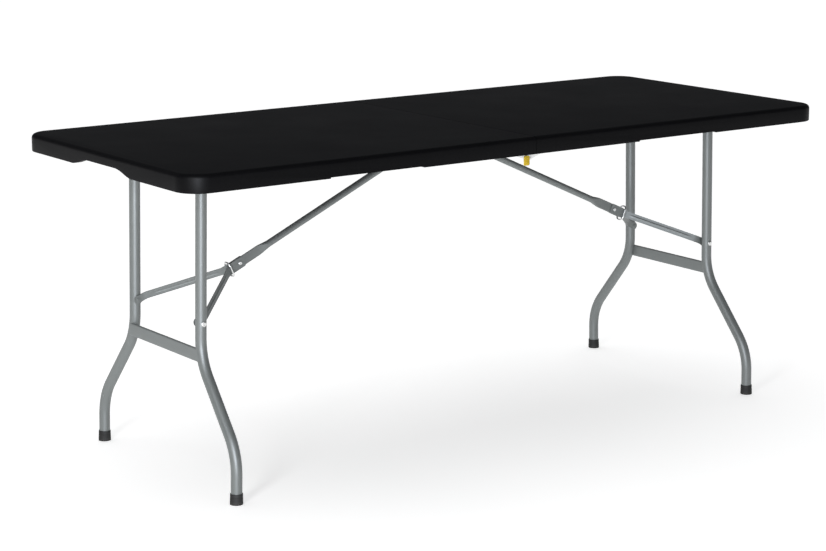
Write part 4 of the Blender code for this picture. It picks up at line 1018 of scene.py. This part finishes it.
for name, place in SIDES.items():
    arm_pair(name, place)
    piece(
        f"knee_pin_{name}", through_rivet(0.00435), ZINC, f"{name}_arms", place @ KNEE,
        [f"knee_rivet_{name}"],
    )
    piece(
        f"brace_pin_{name}", through_rivet(0.00435), ZINC, f"{name}_top",
        place @ Matrix.Translation(ANCHOR), [f"brace_rivet_{name}"],
    )
print("arm faces:", table["arm_left_front"])

# %% [markdown]
# The lock ring is a loop of plated wire round both links. It drops over the knee and keeps the
# brace straight. The carry handle is a moulded bail between two blocks inside the end rim.


# %% Lock rings and carry handle
def lock_ring(name, place):
    wide, tall, corner = 0.0112, 0.0181, 0.0095
    path = [(0, y, z) for y, z in rounded_rectangle((-wide, -tall), (wide, tall), corner, 12)]
    piece(
        f"ring_{name}", swept(path, 0.0019, ZINC, 20, cyclic=True), ZINC, f"{name}_ring", place @ RING,
        [f"lock_ring_{name}"],
    )


def carry_handle(place):
    x, z, half, reach, corner = 0.874, 0.7035, 0.055, 0.030, 0.012
    low = z - reach
    bend = arc((half - corner, low + corner), corner, 0, -90, 12)
    side = [(half, z - 0.003)] + bend
    path = [(x, y, level) for y, level in side + [(-y, level) for y, level in reversed(side)]]
    grip_path = [(x, y, low) for y in (-0.036, -0.033, 0.033, 0.036)]
    eyes = [
        turned(
            [(0.0032, half - 0.0036), (0.0056, half - 0.0036), (0.006, half - 0.0031),
             (0.006, half + 0.0031), (0.0056, half + 0.0036), (0.0032, half + 0.0036),
             (0.0032, half - 0.0036)], across(sign, x, z),
        )
        for sign in (-1, 1)
    ]
    bail = joined(swept(path, 0.0036, NYLON, 24), swept(grip_path, 0.0040, NYLON, 24), *eyes)
    piece("handle_bail", bail, NYLON, "handle", place, ["carry_handle"])
    for sign, end in ((-1, "front"), (1, "back")):
        inner = half + 0.00525
        outline = rounded_rectangle((x - 0.006, z - 0.006), (RECESS_END - 0.0003, SLAB_BELOW - 0.0003), 0.002)
        block = plate([outline], "Y", sign * inner, sign * (inner + 0.010), 0.0008)
        pin = turned(
            [(0, half - 0.0012), (0.003, half - 0.0012), (0.003, inner + 0.005), (0, inner + 0.005)],
            across(sign, x, z),
        )
        piece(
            f"handle_block_{end}", joined(block, pin), NYLON, "right_top", place,
            [f"handle_bracket_{end}"],
        )


for name, place in SIDES.items():
    lock_ring(name, place)
carry_handle(SIDES["right"])
print("pieces:", len(table), "faces:", sum(table.values()))

# %% [markdown]
# The table stands in a plain white studio. A wide soft light above and behind throws the faint
# shadow forward, a softbox at the front left draws the streaks on the bent tubes, and a narrow box
# seen only in reflections lights the near corner. The pale floor fills the undersides. The room is
# kept dim, because black plastic shows whatever it faces.


# %% Camera, floor and lights
def aimed(obj, target):
    away = Vector(target) - obj.location
    obj.rotation_euler = away.to_track_quat("-Z", "Y").to_euler()
    return obj


EYE, EYE_YAW, EYE_PITCH, SENSOR, LENS = (-3.073, -4.129, 1.476), 0.9426, -0.2152, 36.0, 95.2
FLOOR_REACH, FLOOR_GLOW, ROOM_LIGHT, ROOM_SEEN = 60.0, 0.60, 0.12, 1.0


def camera():
    data = bpy.data.cameras.new("camera")
    data.sensor_width, data.lens = SENSOR, LENS
    made = scratch(data)
    made.name = "camera"
    made.location = EYE
    level = math.cos(EYE_PITCH)
    ahead = Vector((math.cos(EYE_YAW) * level, math.sin(EYE_YAW) * level, math.sin(EYE_PITCH)))
    aimed(made, made.location + ahead)
    bpy.context.scene.camera = made
    return made


def pale_floor():
    mesh = bpy.data.meshes.new("floor")
    reach = FLOOR_REACH
    corners = [(-reach, -reach, 0), (reach, -reach, 0), (reach, reach, 0), (-reach, reach, 0)]
    mesh.from_pydata(corners, [], [(0, 1, 2, 3)])
    made = scratch(mesh)
    made.name = "floor"
    paint = Finish("pale_floor", Base_Color=(0.78, 0.78, 0.78, 1), Roughness=0.9, Specular_IOR_Level=0.1)
    paint.drive(Emission_Color=(1.0, 1.0, 1.0, 1), Emission_Strength=FLOOR_GLOW)
    mesh.materials.append(paint.material)
    return made


def area_light(name, place, target, size, power, tint=(1, 1, 1), on_diffuse=True):
    data = bpy.data.lights.new(name, "AREA")
    data.shape, data.size, data.size_y = "RECTANGLE", *size
    data.energy, data.color = power, tint
    made = scratch(data)
    made.name, made.location = name, place
    made.visible_diffuse = on_diffuse
    return aimed(made, target)


def overhead_light():
    data = bpy.data.lights.new("overhead", "SUN")
    data.energy, data.angle = 1.5, math.radians(80)
    made = scratch(data)
    made.visible_glossy = False
    made.name, made.location = "overhead", (0.3, 1.4, 4)
    return aimed(made, (0, 0, 0))


def studio_room():
    """Seen directly the room is white, but it lights the table only dimly."""
    room = bpy.data.worlds.new("studio")
    room.use_nodes = True
    nodes, links = room.node_tree.nodes, room.node_tree.links
    background = nodes["Background"]
    background.inputs["Color"].default_value = (0.95, 0.97, 1.0, 1)
    ray, strength = nodes.new("ShaderNodeLightPath"), nodes.new("ShaderNodeMapRange")
    strength.inputs["To Min"].default_value = ROOM_LIGHT
    strength.inputs["To Max"].default_value = ROOM_SEEN
    links.new(ray.outputs["Is Camera Ray"], strength.inputs["Value"])
    links.new(strength.outputs["Result"], background.inputs["Strength"])
    return room


camera()
pale_floor()
overhead_light()
area_light("softbox", (-3.6, -2.2, 1.5), (-0.6, -0.3, 0.5), (0.7, 2.2), 60)
area_light(
    "corner_box", (-2.4, -2.9, 0.9), (-HALF_LENGTH, -HALF_WIDTH, 0.7), (0.35, 1.6), 190, (0.88, 0.92, 1.0),
    on_diffuse=False,
)
bpy.context.scene.world = studio_room()
bpy.context.scene.view_settings.view_transform = "Standard"
print("camera at", tuple(round(value, 3) for value in bpy.context.scene.camera.location))
